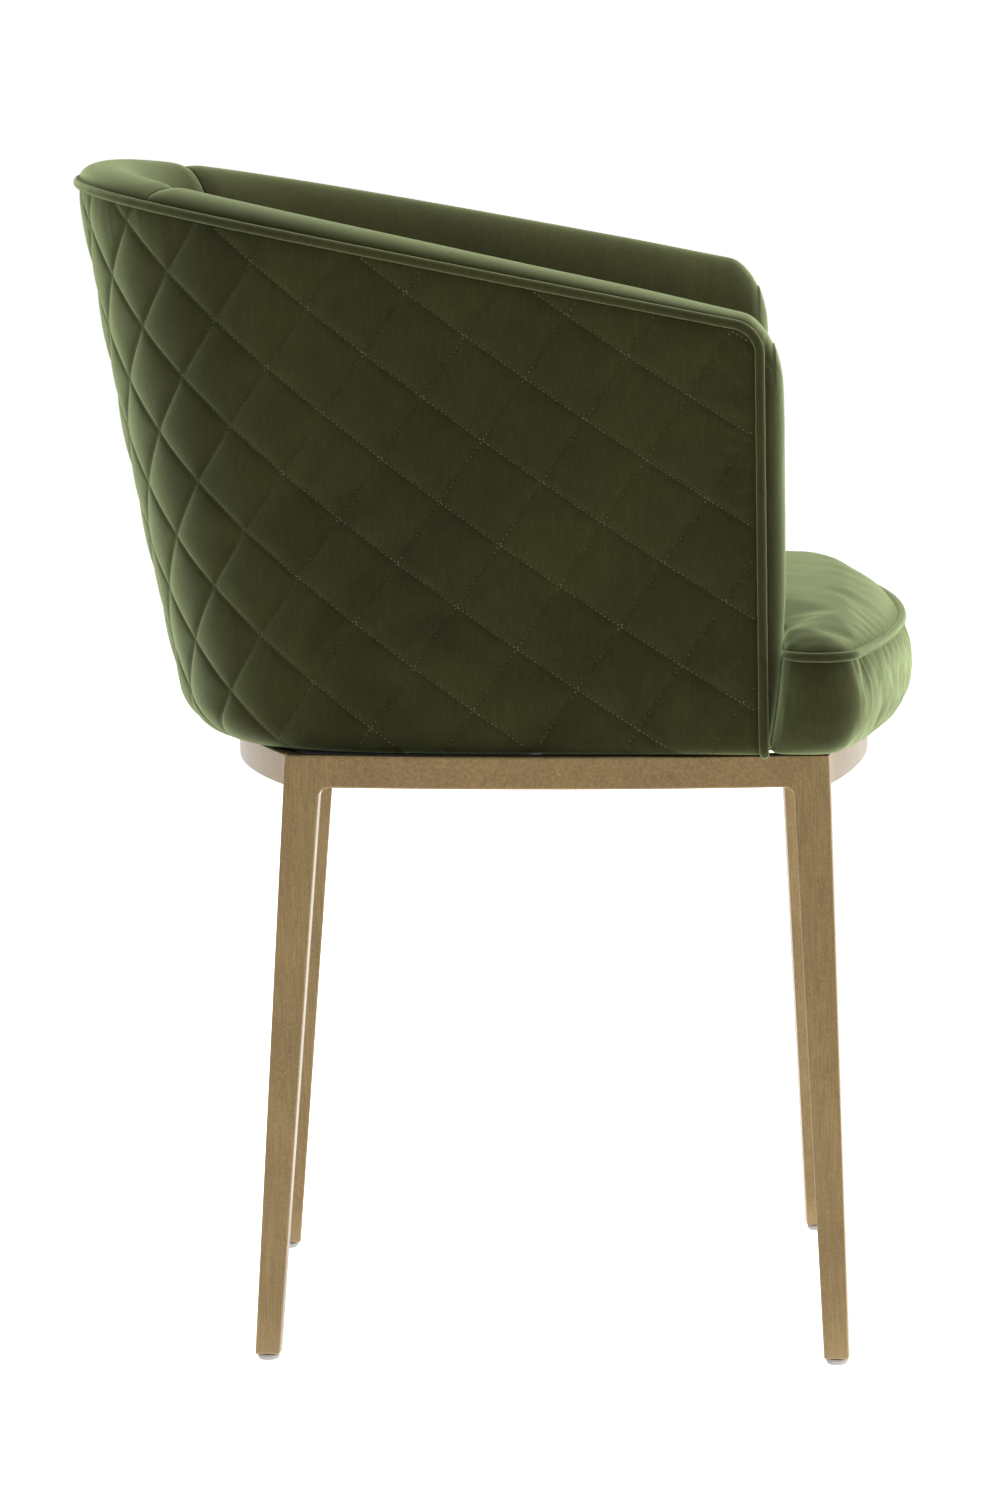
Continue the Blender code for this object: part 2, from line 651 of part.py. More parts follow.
def build_base():
    """Four legs, four rails, glides and corner plates."""
    half = LEG_TOP_WIDTH / 2 + GAP
    inner = LEG_THICKNESS / 2 + GAP
    side_start = leg_face(REAR_LEG_TOP, half, 0.0)
    side_end = leg_face(FRONT_LEG_TOP, -half - FRONT_LEG_LEAN, 0.0)
    for label, side in (("left", 1), ("right", -1)):
        leg("leg_front_" + label, FRONT_LEG_TOP, FRONT_LEG_FOOT, side)
        leg("leg_rear_" + label, REAR_LEG_TOP, REAR_LEG_FOOT, side)
        glide("glide_front_" + label, FRONT_LEG_FOOT, side)
        glide("glide_rear_" + label, REAR_LEG_FOOT, side)
        ends = [(side * x, y) for x, y in (side_start, side_end)]
        rail("side_rail_" + label, *ends, -side * SIDE_RAIL_BOW)
    front = leg_face(FRONT_LEG_TOP, LEG_TOP_WIDTH / 2 - RAIL_THICKNESS / 2, -inner)
    rear = leg_face(REAR_LEG_TOP, RAIL_THICKNESS / 2 - LEG_TOP_WIDTH / 2, -inner)
    front_bow = front[1] - RAIL_THICKNESS / 2 - FRONT_RAIL_FRONT
    rear_bow = REAR_RAIL_BACK - RAIL_THICKNESS / 2 - rear[1]
    front_span = front[0] - BAND_END_GAP
    rear_span = rear[0] - BAND_END_GAP
    rail("front_rail", (-front_span, front[1]), (front_span, front[1]), front_bow)
    rail("rear_rail", (rear_span, rear[1]), (-rear_span, rear[1]), rear_bow)


def corner_plate(tag, x, y):
    """A square tab welded inside a corner of the base."""
    bpy.ops.mesh.primitive_cube_add(size=1.0)
    tab = bpy.context.object
    tab.name = "mount_plate_" + tag
    tab.data.transform(Matrix.Diagonal((PLATE_SIZE, PLATE_SIZE, PLATE_THICKNESS, 1.0)))
    tab.location = (x, y, RAIL_TOP - PLATE_THICKNESS / 2)
    tab.data.materials.append(BRASS)
    for owner in list(tab.users_collection):
        owner.objects.unlink(tab)
    parts.objects.link(tab)
    return tab


def mount_screw(tag, x, y, pieces):
    """A machine screw up through a corner plate, with its hole through the pieces it holds."""
    head = RAIL_TOP - PLATE_THICKNESS - GAP
    low = head - SCREW_HEAD_HEIGHT
    hole = cylinder_cutter("hole_" + tag, SCREW_RADIUS + GAP, 2 * (SCREW_TIP - low),
                           (x, y, RAIL_TOP))
    for piece in pieces:
        cut(piece, hole)
    profile = ((0.0, SCREW_TIP), (SCREW_RADIUS, SCREW_TIP), (SCREW_RADIUS, head),
               (SCREW_HEAD_RADIUS, head), (SCREW_HEAD_RADIUS, low), (0.0, low))
    turned("mount_screw_" + tag, profile, (x, y, 0.0), STEEL)


def back_bolt(tag, t, board, shell):
    """A bolt from outside the plywood tub into the edge of the board."""
    nx, ny = outward(t, BOLT_HEIGHT)
    x, y, _ = tub_point(t, BOLT_HEIGHT)
    turn = (0.0, radians(90), math.atan2(ny, nx))
    start = -(QUILT_THICKNESS + BOLT_RECESS)
    seat = start - BOLT_HEAD_HEIGHT
    tip = seat - BOLT_LENGTH

    def along(distance):
        """A point on the bolt's axis, this far out from the tub's face."""
        return x + nx * distance, y + ny * distance, BOLT_HEIGHT

    reach = BOLT_LENGTH + 2 * BORE_CLEARANCE
    counterbore = cylinder_cutter("counterbore_" + tag, BOLT_HEAD_RADIUS + GAP, COUNTERBORE,
                                  along(seat - GAP / 2 + COUNTERBORE / 2), turn)
    shank = cylinder_cutter("shank_" + tag, BOLT_RADIUS + GAP, reach,
                            along(tip - BORE_CLEARANCE + reach / 2), turn)
    cut(shell, counterbore)
    cut(shell, shank)
    cut(board, shank)
    profile = ((0.0, start), (BOLT_HEAD_RADIUS, start), (BOLT_HEAD_RADIUS, seat),
               (BOLT_RADIUS, seat), (BOLT_RADIUS, tip), (0.0, tip))
    turned("back_bolt_" + tag, profile, (x, y, BOLT_HEIGHT), STEEL, turn)


def build_mounts(board, dust, shell):
    """Corner plates with their screws, and the bolts through the tub into the board."""
    for label, side in (("left", 1), ("right", -1)):
        for end, place in (("front", PLATE_FRONT), ("rear", PLATE_REAR)):
            tag = end + "_" + label
            tab = corner_plate(tag, side * place[0], place[1])
            mount_screw(tag, side * place[0], place[1], (tab, dust, board))
        for number, t in enumerate(BOLT_PLACES, start=1):
            back_bolt(label + "_" + str(number), side * t, board, shell)


build_base()
tub_shell = build_tub()
seat_board, dust_cover = build_seat()
build_mounts(seat_board, dust_cover, tub_shell)
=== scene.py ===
"""The tub dining armchair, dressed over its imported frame. Metres, +Z up, front towards -Y."""
import json
import math
from math import cos, exp, pi, radians, sin, sqrt

import bmesh
import bpy
import numpy as np
from mathutils import Euler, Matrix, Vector, noise


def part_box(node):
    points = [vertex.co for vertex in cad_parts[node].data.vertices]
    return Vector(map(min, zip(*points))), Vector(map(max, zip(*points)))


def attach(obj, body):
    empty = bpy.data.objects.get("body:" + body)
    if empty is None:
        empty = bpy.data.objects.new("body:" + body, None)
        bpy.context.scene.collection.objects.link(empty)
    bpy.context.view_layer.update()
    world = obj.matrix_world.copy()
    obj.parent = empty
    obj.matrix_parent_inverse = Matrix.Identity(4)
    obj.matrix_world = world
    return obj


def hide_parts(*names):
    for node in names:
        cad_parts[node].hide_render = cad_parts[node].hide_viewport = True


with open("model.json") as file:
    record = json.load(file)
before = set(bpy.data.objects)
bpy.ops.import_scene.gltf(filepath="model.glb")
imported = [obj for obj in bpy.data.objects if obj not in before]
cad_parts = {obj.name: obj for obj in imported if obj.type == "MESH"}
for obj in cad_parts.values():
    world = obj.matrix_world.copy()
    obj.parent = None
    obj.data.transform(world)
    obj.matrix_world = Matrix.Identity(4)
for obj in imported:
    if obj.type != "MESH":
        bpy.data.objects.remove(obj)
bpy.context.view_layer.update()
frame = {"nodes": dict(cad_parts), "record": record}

# ---- sizes taken from the frame -----------------------------------------------------------
SHELL_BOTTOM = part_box("quilted_cover")[0].z
RAIL_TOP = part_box("side_rail_left")[1].z
FOOT_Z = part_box("leg_front_left")[0].z
SEAT_WELT_Z = (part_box("seat_welt")[0].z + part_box("seat_welt")[1].z) / 2
FRONT_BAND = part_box("front_rail")[0].y
REAR_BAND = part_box("rear_rail")[1].y
BOARD_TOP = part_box("seat_board")[1].z

# ---- driving sizes shared with the frame --------------------------------------------------
REFERENCE_HEIGHT = 0.7600    # where the tub's plan is PLAN_TOP
PLAN_TOP = ((0.0, 0.2834), (0.1990, 0.2834), (0.2140, 0.1058), (0.2915, -0.1780))
PLAN_BOTTOM = ((0.0, 0.2160), (0.2427, 0.2160), (0.2149, 0.1318), (0.2640, -0.1780))
BACK_BOW = 0.003             # swell of the back between its foot and its rim
TUCK_REAR, TUCK_SIDE = 0.030, 0.007
TUCK_SHARE = 0.75
SEAM_HEIGHT, SEAM_SLOPE = 0.7345, 0.193
CREST_HEIGHT, CREST_SLOPE = 0.7465, 0.2125
PAD_INNER = 0.048            # thickness of the tub and its padding
WELT_RADIUS = 0.0033
WELT_FRONT = -0.1755
ARM_CORNER_RADIUS = 0.016
ARM_MIDDLE, ARM_TOP = 0.56, 0.70
ARM_FRONT, ARM_FOOT_BACK = -0.1918, 0.0124
ARM_CORNER_DEPTH, ARM_CORNER_HEIGHT = 0.027, 0.052
NOSE_START = -0.1779         # where the padding starts to turn round the arm's front
PANEL_SEAM = 0.3125

LEG_THICKNESS = 0.015
LEG_TOP_WIDTH, LEG_FOOT_WIDTH = 0.0250, 0.0168
LEG_TOE_IN = radians(5.5)
FRONT_LEG_TOP, FRONT_LEG_FOOT = (0.2459, -0.2077), (0.2617, -0.2203)
REAR_LEG_TOP, REAR_LEG_FOOT = (0.2131, 0.1329), (0.2166, 0.1640)
RAIL_HEIGHT, RAIL_THICKNESS, RAIL_FILLET = 0.022, 0.015, 0.007
SIDE_RAIL_BOW = 0.012
GLIDE_HEIGHT, GLIDE_RADIUS, GLIDE_STEM = 0.004, 0.0074, 0.0038

SEAT_EAR_BACK, SEAT_EAR_RADIUS, SEAT_EAR_X = -0.1930, 0.0225, 0.2600
SEAT_FRONT = -0.2765
SEAT_CLEARANCE = 0.0045
SEAT_THROAT_Y = -0.165
EDGE_RISE, EDGE_FALLOFF, EDGE_SOFTNESS = 0.0265, 0.16, 0.018
CROWN_SLOPE = 0.045
CROWN_CENTRE_Y = -0.2000
STITCH_PITCH = 0.0036

# ---- quilting -----------------------------------------------------------------------------
QUILT_SQUARE = 0.05047       # side of one diamond
QUILT_CONE = 2.50            # radius of the panel's development at QUILT_LEVEL
QUILT_LEVEL = 0.56
QUILT_TILT = radians(-2.34)  # the cover was cut this far off the straight
QUILT_PHASE = (-0.311, -0.121)
QUILT_PUFF, PUFF_REACH = 0.0030, 0.0075
QUILT_GROOVE, GROOVE_WIDTH = 0.0008, 0.0013
QUILT_LINES = 16             # sewn lines either way from the middle
QUILT_COLUMNS, QUILT_ROWS = 620, 190
LAST_PLACE, HIGHEST_LEVEL = 1.02, 0.81      # the development covers a little more than the panel
QUILT_THICKNESS = 0.0014
HEM_DEPTH, HEM_EDGE = 0.030, 0.006
HEM_SINK = 0.0022            # how far the quilting is drawn in along its edges
THREAD_SHARE, THREAD_RADIUS = 0.84, 0.00038


# ---- the tub's surface --------------------------------------------------------------------
def bezier(points, t):
    """A point on a cubic curve."""
    weights = ((1 - t) ** 3, 3 * t * (1 - t) ** 2, 3 * t * t * (1 - t), t ** 3)
    return tuple(sum(w * p[axis] for w, p in zip(weights, points)) for axis in range(2))


def raw_plan(t, z):
    """Outer face of the tub in plan at height z; t runs from -1 (right arm) to 1 (left arm)."""
    rise = (z - SHELL_BOTTOM) / (REFERENCE_HEIGHT - SHELL_BOTTOM)
    low = bezier(PLAN_BOTTOM, abs(t))
    high = bezier(PLAN_TOP, abs(t))
    x = low[0] + rise * (high[0] - low[0])
    y = low[1] + rise * (high[1] - low[1])
    return math.copysign(x, t), y


def outward(t, z):
    """Horizontal direction out of the tub's face."""
    step = 0.004
    ahead = raw_plan(min(abs(t) + step, 1.0), z)
    behind = raw_plan(max(abs(t) - step, 0.0), z)
    along = (ahead[0] - behind[0], ahead[1] - behind[1])
    length = math.hypot(*along)
    return math.copysign(-along[1] / length, t) if t else 0.0, along[0] / length


def rear_share(t):
    """1 at the middle of the back, falling to 0 at the arms."""
    return max(0.0, 1.0 - (abs(t) / 0.6) ** 2)


def tuck(t, z):
    """How far the face turns in, close to its rounded lower edge."""
    radius = TUCK_SIDE + (TUCK_REAR - TUCK_SIDE) * rear_share(t)
    depth = max(0.0, SHELL_BOTTOM + radius - z)
    return radius - sqrt(max(0.0, radius ** 2 - min(depth, radius) ** 2)) if depth else 0.0


def tub_point(t, z, offset=0.0):
    """A point of the tub at height z, offset outwards (negative is inwards)."""
    rise = (z - SHELL_BOTTOM) / (REFERENCE_HEIGHT - SHELL_BOTTOM)
    swell = BACK_BOW * sin(pi * min(max(rise, 0.0), 1.0)) * rear_share(t)
    shift = offset + swell - TUCK_SHARE * tuck(t, z)
    x, y = raw_plan(t, z)
    nx, ny = outward(t, z)
    return Vector((x + nx * shift, y + ny * shift, z))


def place_at_front(y, z):
    """The place along the tub where its face reaches a given y."""
    low, high = 0.0, 1.3
    for _ in range(30):
        middle = (low + high) / 2
        if raw_plan(middle, z)[1] > y:
            low = middle
        else:
            high = middle
    return low


def seam_height(t):
    """Height of the rim seam."""
    return SEAM_HEIGHT + SEAM_SLOPE * raw_plan(t, SEAM_HEIGHT)[1]


def crest_height(t):
    """Height of the top of the rolled rim."""
    return CREST_HEIGHT + CREST_SLOPE * tub_point(t, SEAM_HEIGHT, -PAD_INNER / 2).y


def corner_drop(distance, radius=ARM_CORNER_RADIUS):
    """How far the rim falls, this far behind the front of the arm."""
    short = min(max(0.0, radius - distance), radius)
    return radius - sqrt(radius ** 2 - short ** 2)


def spread(first, last, count):
    """Evenly spaced numbers, both ends included."""
    return [first + (last - first) * i / (count - 1) for i in range(count)]


def wander(x, y, z):
    """Smooth random value between about -1 and 1."""
    return noise.noise(Vector((x, y, z)))


def ease(x):
    """Smooth step from 0 to 1."""
    x = min(max(x, 0.0), 1.0)
    return x * x * (3 - 2 * x)


# ---- meshes -------------------------------------------------------------------------------
def new_piece(name, mesh, look):
    """Link a mesh as a smooth-shaded piece that rides on the chair."""
    mesh.materials.clear()
    for one in look if isinstance(look, (list, tuple)) else [look]:
        mesh.materials.append(one)
    mesh.shade_smooth()
    piece = bpy.data.objects.new(name, mesh)
    bpy.context.scene.collection.objects.link(piece)
    return piece


def skin(name, rows, around=False, along=False, caps=False):
    """Mesh over a grid of points; around closes each row, along joins last row to first."""
    count, width = len(rows), len(rows[0])
    points = [tuple(point) for row in rows for point in row]
    faces = []
    for r in range(count if along else count - 1):
        below, above = r * width, ((r + 1) % count) * width
        for c in range(width if around else width - 1):
            d = (c + 1) % width
            faces.append((below + c, below + d, above + d, above + c))
    if caps:
        faces.append(tuple(range(width)))
        faces.append(tuple(range((count - 1) * width, count * width)))
    mesh = bpy.data.meshes.new(name)
    mesh.from_pydata(points, [], faces)
    work = bmesh.new()
    work.from_mesh(mesh)
    bmesh.ops.recalc_face_normals(work, faces=work.faces)
    work.to_mesh(mesh)
    work.free()
    return mesh


def tube(name, path, radius, look, closed=False, sides=12):
    """A round cord along a path, its radius a number or a function of the point's index."""
    rows = []
    count = len(path)
    side = None
    for i, point in enumerate(path):
        before = path[i - 1] if i or closed else path[i]
        after = path[(i + 1) % count] if i < count - 1 or closed else path[i]
        along = (after - before).normalized()
        if side is None:
            side = along.cross(Vector((0, 0, 1)))
            side = side if side.length > 0.1 else along.cross(Vector((1, 0, 0)))
        side = (side - along * side.dot(along)).normalized()
        up = along.cross(side)
        size = radius(i) if callable(radius) else radius
        rows.append([point + (side * cos(a) + up * sin(a)) * size
                     for a in (2 * pi * k / sides for k in range(sides))])
    return new_piece(name, skin(name, rows, around=True, along=closed, caps=not closed), look)


def resample(path, pitch):
    """Points evenly spaced along a path."""
    lengths = [0.0]
    for a, b in zip(path, path[1:]):
        lengths.append(lengths[-1] + (b - a).length)
    count = max(2, round(lengths[-1] / pitch) + 1)
    made, k = [], 0
    for target in spread(0.0, lengths[-1], count):
        while k < len(path) - 2 and lengths[k + 1] < target:
            k += 1
        share = (target - lengths[k]) / max(lengths[k + 1] - lengths[k], 1e-9)
        made.append(path[k].lerp(path[k + 1], share))
    return made


def add_stitches(store, path, normals, length, thickness):
    """Add one thread spindle for each pair of neighbouring points."""
    points, faces = store
    for a, b, normal in zip(path, path[1:], normals):
        along = (b - a).normalized()
        side = along.cross(normal).normalized()
        middle = (a + b) / 2
        start = len(points)
        half = along * length / 2
        ring = [side * thickness, normal * thickness, -side * thickness, -normal * thickness]
        points.append(middle - half - normal * thickness)
        for share in (-0.5, 0.5):
            points.extend(middle + half * share + out for out in ring)
        points.append(middle + half - normal * thickness)
        for k in range(4):
            j = (k + 1) % 4
            faces.append((start, start + 1 + j, start + 1 + k))
            faces.append((start + 1 + k, start + 1 + j, start + 5 + j, start + 5 + k))
            faces.append((start + 9, start + 5 + k, start + 5 + j))


def stitches_piece(name, store, look):
    """Make the piece that holds a store of stitches."""
    mesh = bpy.data.meshes.new(name)
    mesh.from_pydata([tuple(p) for p in store[0]], [], store[1])
    return new_piece(name, mesh, look)


# ---- materials ----------------------------------------------------------------------------
class Nodes:
    """Short-hand for building a node tree."""

    def __init__(self, name):
        self.made = bpy.data.materials.new(name)
        self.made.use_nodes = True
        self.tree = self.made.node_tree
        self.shader = self.tree.nodes["Principled BSDF"]
        self.place = self.add("ShaderNodeTexCoord").outputs["Object"]

    def add(self, kind, **values):
        """A node, with its properties set."""
        node = self.tree.nodes.new(kind)
        for key, value in values.items():
            setattr(node, key, value)
        return node

    def link(self, source, target):
        """Join two sockets."""
        self.tree.links.new(source, target)

    def mapped(self, scale):
        """Object coordinates, stretched."""
        node = self.add("ShaderNodeMapping")
        node.inputs["Scale"].default_value = scale
        self.link(self.place, node.inputs["Vector"])
        return node.outputs["Vector"]

    def noise(self, scale, detail=2.0, rough=0.5, vector=None, distortion=0.0):
        """A noise texture's value."""
        node = self.add("ShaderNodeTexNoise")
        node.inputs["Scale"].default_value = scale
        node.inputs["Detail"].default_value = detail
        node.inputs["Roughness"].default_value = rough
        node.inputs["Distortion"].default_value = distortion
        self.link(vector or self.place, node.inputs["Vector"])
        return node.outputs["Fac"]

    def spread(self, value, low, high, start=0.0, end=1.0):
        """A value mapped from start..end to low..high."""
        node = self.add("ShaderNodeMapRange")
        for key, number in (("From Min", start), ("From Max", end), ("To Min", low), ("To Max", high)):
            node.inputs[key].default_value = number
        self.link(value, node.inputs["Value"])
        return node.outputs["Result"]

    def mix(self, factor, first, second, kind="MIX"):
        """Two colours mixed; factor and colours are sockets or values."""
        node = self.add("ShaderNodeMix", data_type="RGBA", blend_type=kind)
        for key, source in ((0, factor), (6, first), (7, second)):
            if isinstance(source, bpy.types.NodeSocket):
                self.link(source, node.inputs[key])
            else:
                node.inputs[key].default_value = (*source, 1.0) if isinstance(source, tuple) else source
        return node.outputs[2]

    def maths(self, operation, first, second):
        """A sum of two values or sockets."""
        node = self.add("ShaderNodeMath", operation=operation)
        for key, source in enumerate((first, second)):
            if isinstance(source, bpy.types.NodeSocket):
                self.link(source, node.inputs[key])
            else:
                node.inputs[key].default_value = source
        return node.outputs["Value"]

    def bump(self, height, strength, distance, base=None):
        """A bump from a height, chained after another."""
        node = self.add("ShaderNodeBump")
        node.inputs["Strength"].default_value = strength
        node.inputs["Distance"].default_value = distance
        self.link(height, node.inputs["Height"])
        if base:
            self.link(base, node.inputs["Normal"])
        return node.outputs["Normal"]

    def set(self, **values):
        """Set the shader's own sockets."""
        for key, value in values.items():
            socket = self.shader.inputs[key.replace("_", " ")]
            if isinstance(value, bpy.types.NodeSocket):
                self.link(value, socket)
            else:
                socket.default_value = value


def velvet(name, dark, light, sheen=1.0):
    """Short-pile velvet: brushed patches, fine pile, and a soft glow at glancing angles."""
    n = Nodes(name)
    patches = n.noise(9.0, 4.0, 0.6, distortion=0.6)
    drift = n.noise(2.6, 2.0)
    marks = n.noise(34.0, 3.0, 0.6, distortion=0.5)
    pile = n.noise(1500.0, 2.0, 0.7)
    brushed = n.noise(1.0, 3.0, 0.6, n.mapped((420.0, 420.0, 70.0)))
    tone = n.mix(n.spread(patches, 0.0, 1.0, 0.42, 0.58), dark, light)
    tone = n.mix(n.spread(drift, 0.0, 0.45, 0.35, 0.65), tone, tuple(c * 1.25 for c in light))
    tone = n.mix(n.spread(marks, 0.0, 0.35, 0.42, 0.60), tone, light)
    tone = n.mix(n.spread(pile, 0.0, 0.55, 0.3, 0.7), tone, (0.050, 0.042, 0.013))
    tone = n.mix(n.spread(brushed, 0.0, 0.22, 0.35, 0.65), tone, (0.004, 0.006, 0.002))
    rough = n.spread(patches, 0.78, 0.95, 0.3, 0.7)
    relief = n.bump(pile, 0.35, 0.0006)
    relief = n.bump(n.noise(60.0, 3.0), 0.12, 0.0012, relief)
    n.set(Base_Color=tone, Roughness=rough, Normal=relief, Sheen_Weight=sheen,
          Sheen_Roughness=0.40, Sheen_Tint=(0.57, 0.69, 0.35, 1.0), Specular_IOR_Level=0.08)
    return n.made


def thread_look():
    """Matt sewing thread, a shade lighter than the velvet."""
    n = Nodes("sewing_thread")
    twist = n.noise(900.0, 2.0)
    n.set(Base_Color=n.mix(twist, (0.045, 0.053, 0.021), (0.095, 0.110, 0.050)), Roughness=0.6,
          Normal=n.bump(twist, 0.3, 0.0003), Sheen_Weight=0.3, Specular_IOR_Level=0.3)
    return n.made


def brass(name, grain_scale, streak):
    """Brushed antique brass under a thin clear lacquer, with a painted highlight along its edges."""
    n = Nodes(name)
    grain = n.noise(1.0, 4.0, 0.65, n.mapped(grain_scale))
    cloud = n.noise(14.0, 5.0, 0.6, distortion=0.8)
    speck = n.noise(700.0, 2.0, 0.6)
    tone = n.mix(n.spread(grain, 0.0, 1.0, 0.32, 0.68), (0.165, 0.111, 0.045), (0.280, 0.193, 0.084))
    tone = n.mix(n.spread(cloud, 0.0, 0.30, 0.42, 0.68), tone, (0.125, 0.080, 0.033))
    tone = n.mix(n.spread(speck, 0.0, 0.5, 0.45, 0.75), tone, (0.34, 0.24, 0.115))
    # painted highlight: sharp edges found by pointiness are lightened
    edge_highlight = n.add("ShaderNodeNewGeometry").outputs["Pointiness"]
    tone = n.mix(n.spread(edge_highlight, 0.0, 0.8, 0.53, 0.60), tone, (0.62, 0.47, 0.26))
    rough = n.maths("ADD", n.spread(grain, 0.36, 0.52, 0.3, 0.7), n.spread(cloud, -0.04, 0.06))
    relief = n.bump(grain, streak, 0.0004)
    relief = n.bump(speck, 0.10, 0.0003, relief)
    n.set(Base_Color=tone, Metallic=1.0, Roughness=rough, Normal=relief,
          Coat_Weight=0.35, Coat_Roughness=0.22)
    return n.made


def nylon():
    """Moulded grey nylon with a faint flow pattern."""
    n = Nodes("grey_nylon")
    flow = n.noise(180.0, 3.0)
    n.set(Base_Color=n.mix(flow, (0.34, 0.33, 0.31), (0.50, 0.49, 0.47)),
          Roughness=n.spread(flow, 0.42, 0.62), Normal=n.bump(n.noise(1200.0), 0.2, 0.0002),
          Subsurface_Weight=0.05)
    return n.made


def steel():
    """Zinc-plated steel."""
    n = Nodes("zinc_steel")
    turned_marks = n.noise(1.0, 3.0, 0.6, n.mapped((900.0, 900.0, 120.0)))
    n.set(Base_Color=n.mix(turned_marks, (0.42, 0.42, 0.43), (0.62, 0.62, 0.60)), Metallic=1.0,
          Roughness=n.spread(turned_marks, 0.22, 0.42), Normal=n.bump(turned_marks, 0.2, 0.0002))
    return n.made


def plywood():
    """Birch plywood: long grain, with the plies showing on its edge."""
    n = Nodes("birch_plywood")
    grain = n.noise(1.0, 5.0, 0.6, n.mapped((160.0, 9.0, 160.0)), distortion=1.2)
    plies = n.add("ShaderNodeTexWave", bands_direction="Z", wave_profile="SIN")
    plies.inputs["Scale"].default_value = 110.0
    n.link(n.place, plies.inputs["Vector"])
    tone = n.mix(grain, (0.36, 0.22, 0.11), (0.62, 0.45, 0.27))
    tone = n.mix(n.spread(plies.outputs["Fac"], 0.0, 0.25), tone, (0.25, 0.14, 0.07))
    n.set(Base_Color=tone, Roughness=n.spread(grain, 0.55, 0.75), Normal=n.bump(grain, 0.2, 0.0004))
    return n.made


def foam_look():
    """Open-cell upholstery foam."""
    n = Nodes("upholstery_foam")
    cells = n.add("ShaderNodeTexVoronoi")
    cells.inputs["Scale"].default_value = 700.0
    n.link(n.place, cells.inputs["Vector"])
    tone = n.mix(cells.outputs["Distance"], (0.74, 0.68, 0.46), (0.52, 0.45, 0.28))
    n.set(Base_Color=tone, Roughness=0.95, Normal=n.bump(cells.outputs["Distance"], 0.5, 0.0006))
    return n.made


def lining():
    """Black non-woven lining."""
    n = Nodes("black_lining")
    fibres = n.noise(1.0, 3.0, 0.7, n.mapped((900.0, 350.0, 900.0)), distortion=2.0)
    n.set(Base_Color=n.mix(fibres, (0.006, 0.006, 0.007), (0.030, 0.030, 0.032)),
          Roughness=n.spread(fibres, 0.85, 1.0), Normal=n.bump(fibres, 0.4, 0.0004), Sheen_Weight=0.2)
    return n.made


# One velvet in four copies with painted light and shade: the seat and piping copies are lighter, the
# quilted and inner copies darker.
VELVET_QUILTED = velvet("velvet_quilted", (0.0055, 0.0062, 0.0016), (0.022, 0.022, 0.0062))
VELVET_INNER = velvet("velvet_inner", (0.0075, 0.0085, 0.0025), (0.021, 0.022, 0.0070))
VELVET_SEAT = velvet("velvet_seat", (0.014, 0.017, 0.005), (0.033, 0.036, 0.012))
VELVET_PIPING = velvet("velvet_piping", (0.013, 0.014, 0.005), (0.026, 0.027, 0.010))
THREAD = thread_look()
BRASS_UPRIGHT = brass("brass_upright", (900.0, 900.0, 26.0), 0.35)
BRASS_RAIL = brass("brass_rail", (420.0, 420.0, 420.0), 0.25)
NYLON = nylon()
STEEL = steel()
PLYWOOD = plywood()
FOAM = foam_look()
LINING = lining()


# ---- quilted back -------------------------------------------------------------------------
class Development:
    """The tub's outer face laid flat, as the panel was cut: a slice of a wide cone."""

    def __init__(self):
        self.places = np.linspace(0.0, LAST_PLACE, 120)
        self.levels = np.linspace(SHELL_BOTTOM - 0.01, HIGHEST_LEVEL, 30)
        self.arcs = np.array([self.arc_row(z) for z in self.levels])

    def arc_row(self, z):
        """Distance along the tub at one height, for every place."""
        row = np.array([raw_plan(t, z) for t in self.places])
        steps = np.hypot(*np.diff(row, axis=0).T)
        return np.concatenate([[0.0], np.cumsum(steps)])

    def row_at(self, z):
        """Distances at any height."""
        place = (z - self.levels[0]) / (self.levels[1] - self.levels[0])
        index = min(max(int(place), 0), len(self.levels) - 2)
        share = place - index
        return self.arcs[index] * (1 - share) + self.arcs[index + 1] * share

    def flat(self, t, z):
        """Flat position of a place on the face."""
        arc = math.copysign(np.interp(abs(t), self.places, self.row_at(z)), t)
        radius = QUILT_CONE + (z - QUILT_LEVEL)
        x, y = radius * sin(arc / radius), radius * cos(arc / radius) - QUILT_CONE
        return x * cos(QUILT_TILT) - y * sin(QUILT_TILT), x * sin(QUILT_TILT) + y * cos(QUILT_TILT)

    def back(self, x, y):
        """Place and height of a flat position."""
        x, y = x * cos(QUILT_TILT) + y * sin(QUILT_TILT), y * cos(QUILT_TILT) - x * sin(QUILT_TILT)
        radius = math.hypot(x, y + QUILT_CONE)
        z = QUILT_LEVEL + radius - QUILT_CONE
        arc = radius * math.atan2(x, y + QUILT_CONE)
        t = np.interp(abs(arc), self.row_at(z), self.places)
        return math.copysign(t, arc), z

    def diamond(self, t, z):
        """Lattice coordinates: whole numbers are sewn lines."""
        x, y = self.flat(-t, z)
        side = QUILT_SQUARE * sqrt(2)
        return (x + y) / side - QUILT_PHASE[0], (y - x) / side - QUILT_PHASE[1]

    def place(self, a, b):
        """Place and height of lattice coordinates."""
        side = QUILT_SQUARE * sqrt(2)
        u, w = (a + QUILT_PHASE[0]) * side, (b + QUILT_PHASE[1]) * side
        t, z = self.back((u - w) / 2, (u + w) / 2)
        return -t, z


DEVELOPMENT = Development()
PANEL_FRONT = place_at_front(WELT_FRONT + 0.0012, 0.56)


def panel_top(t):
    """Upper edge of the quilted panel, rounded down at the front of the arm."""
    ahead = raw_plan(t, SEAM_HEIGHT)[1] - WELT_FRONT
    return seam_height(t) - corner_drop(ahead)


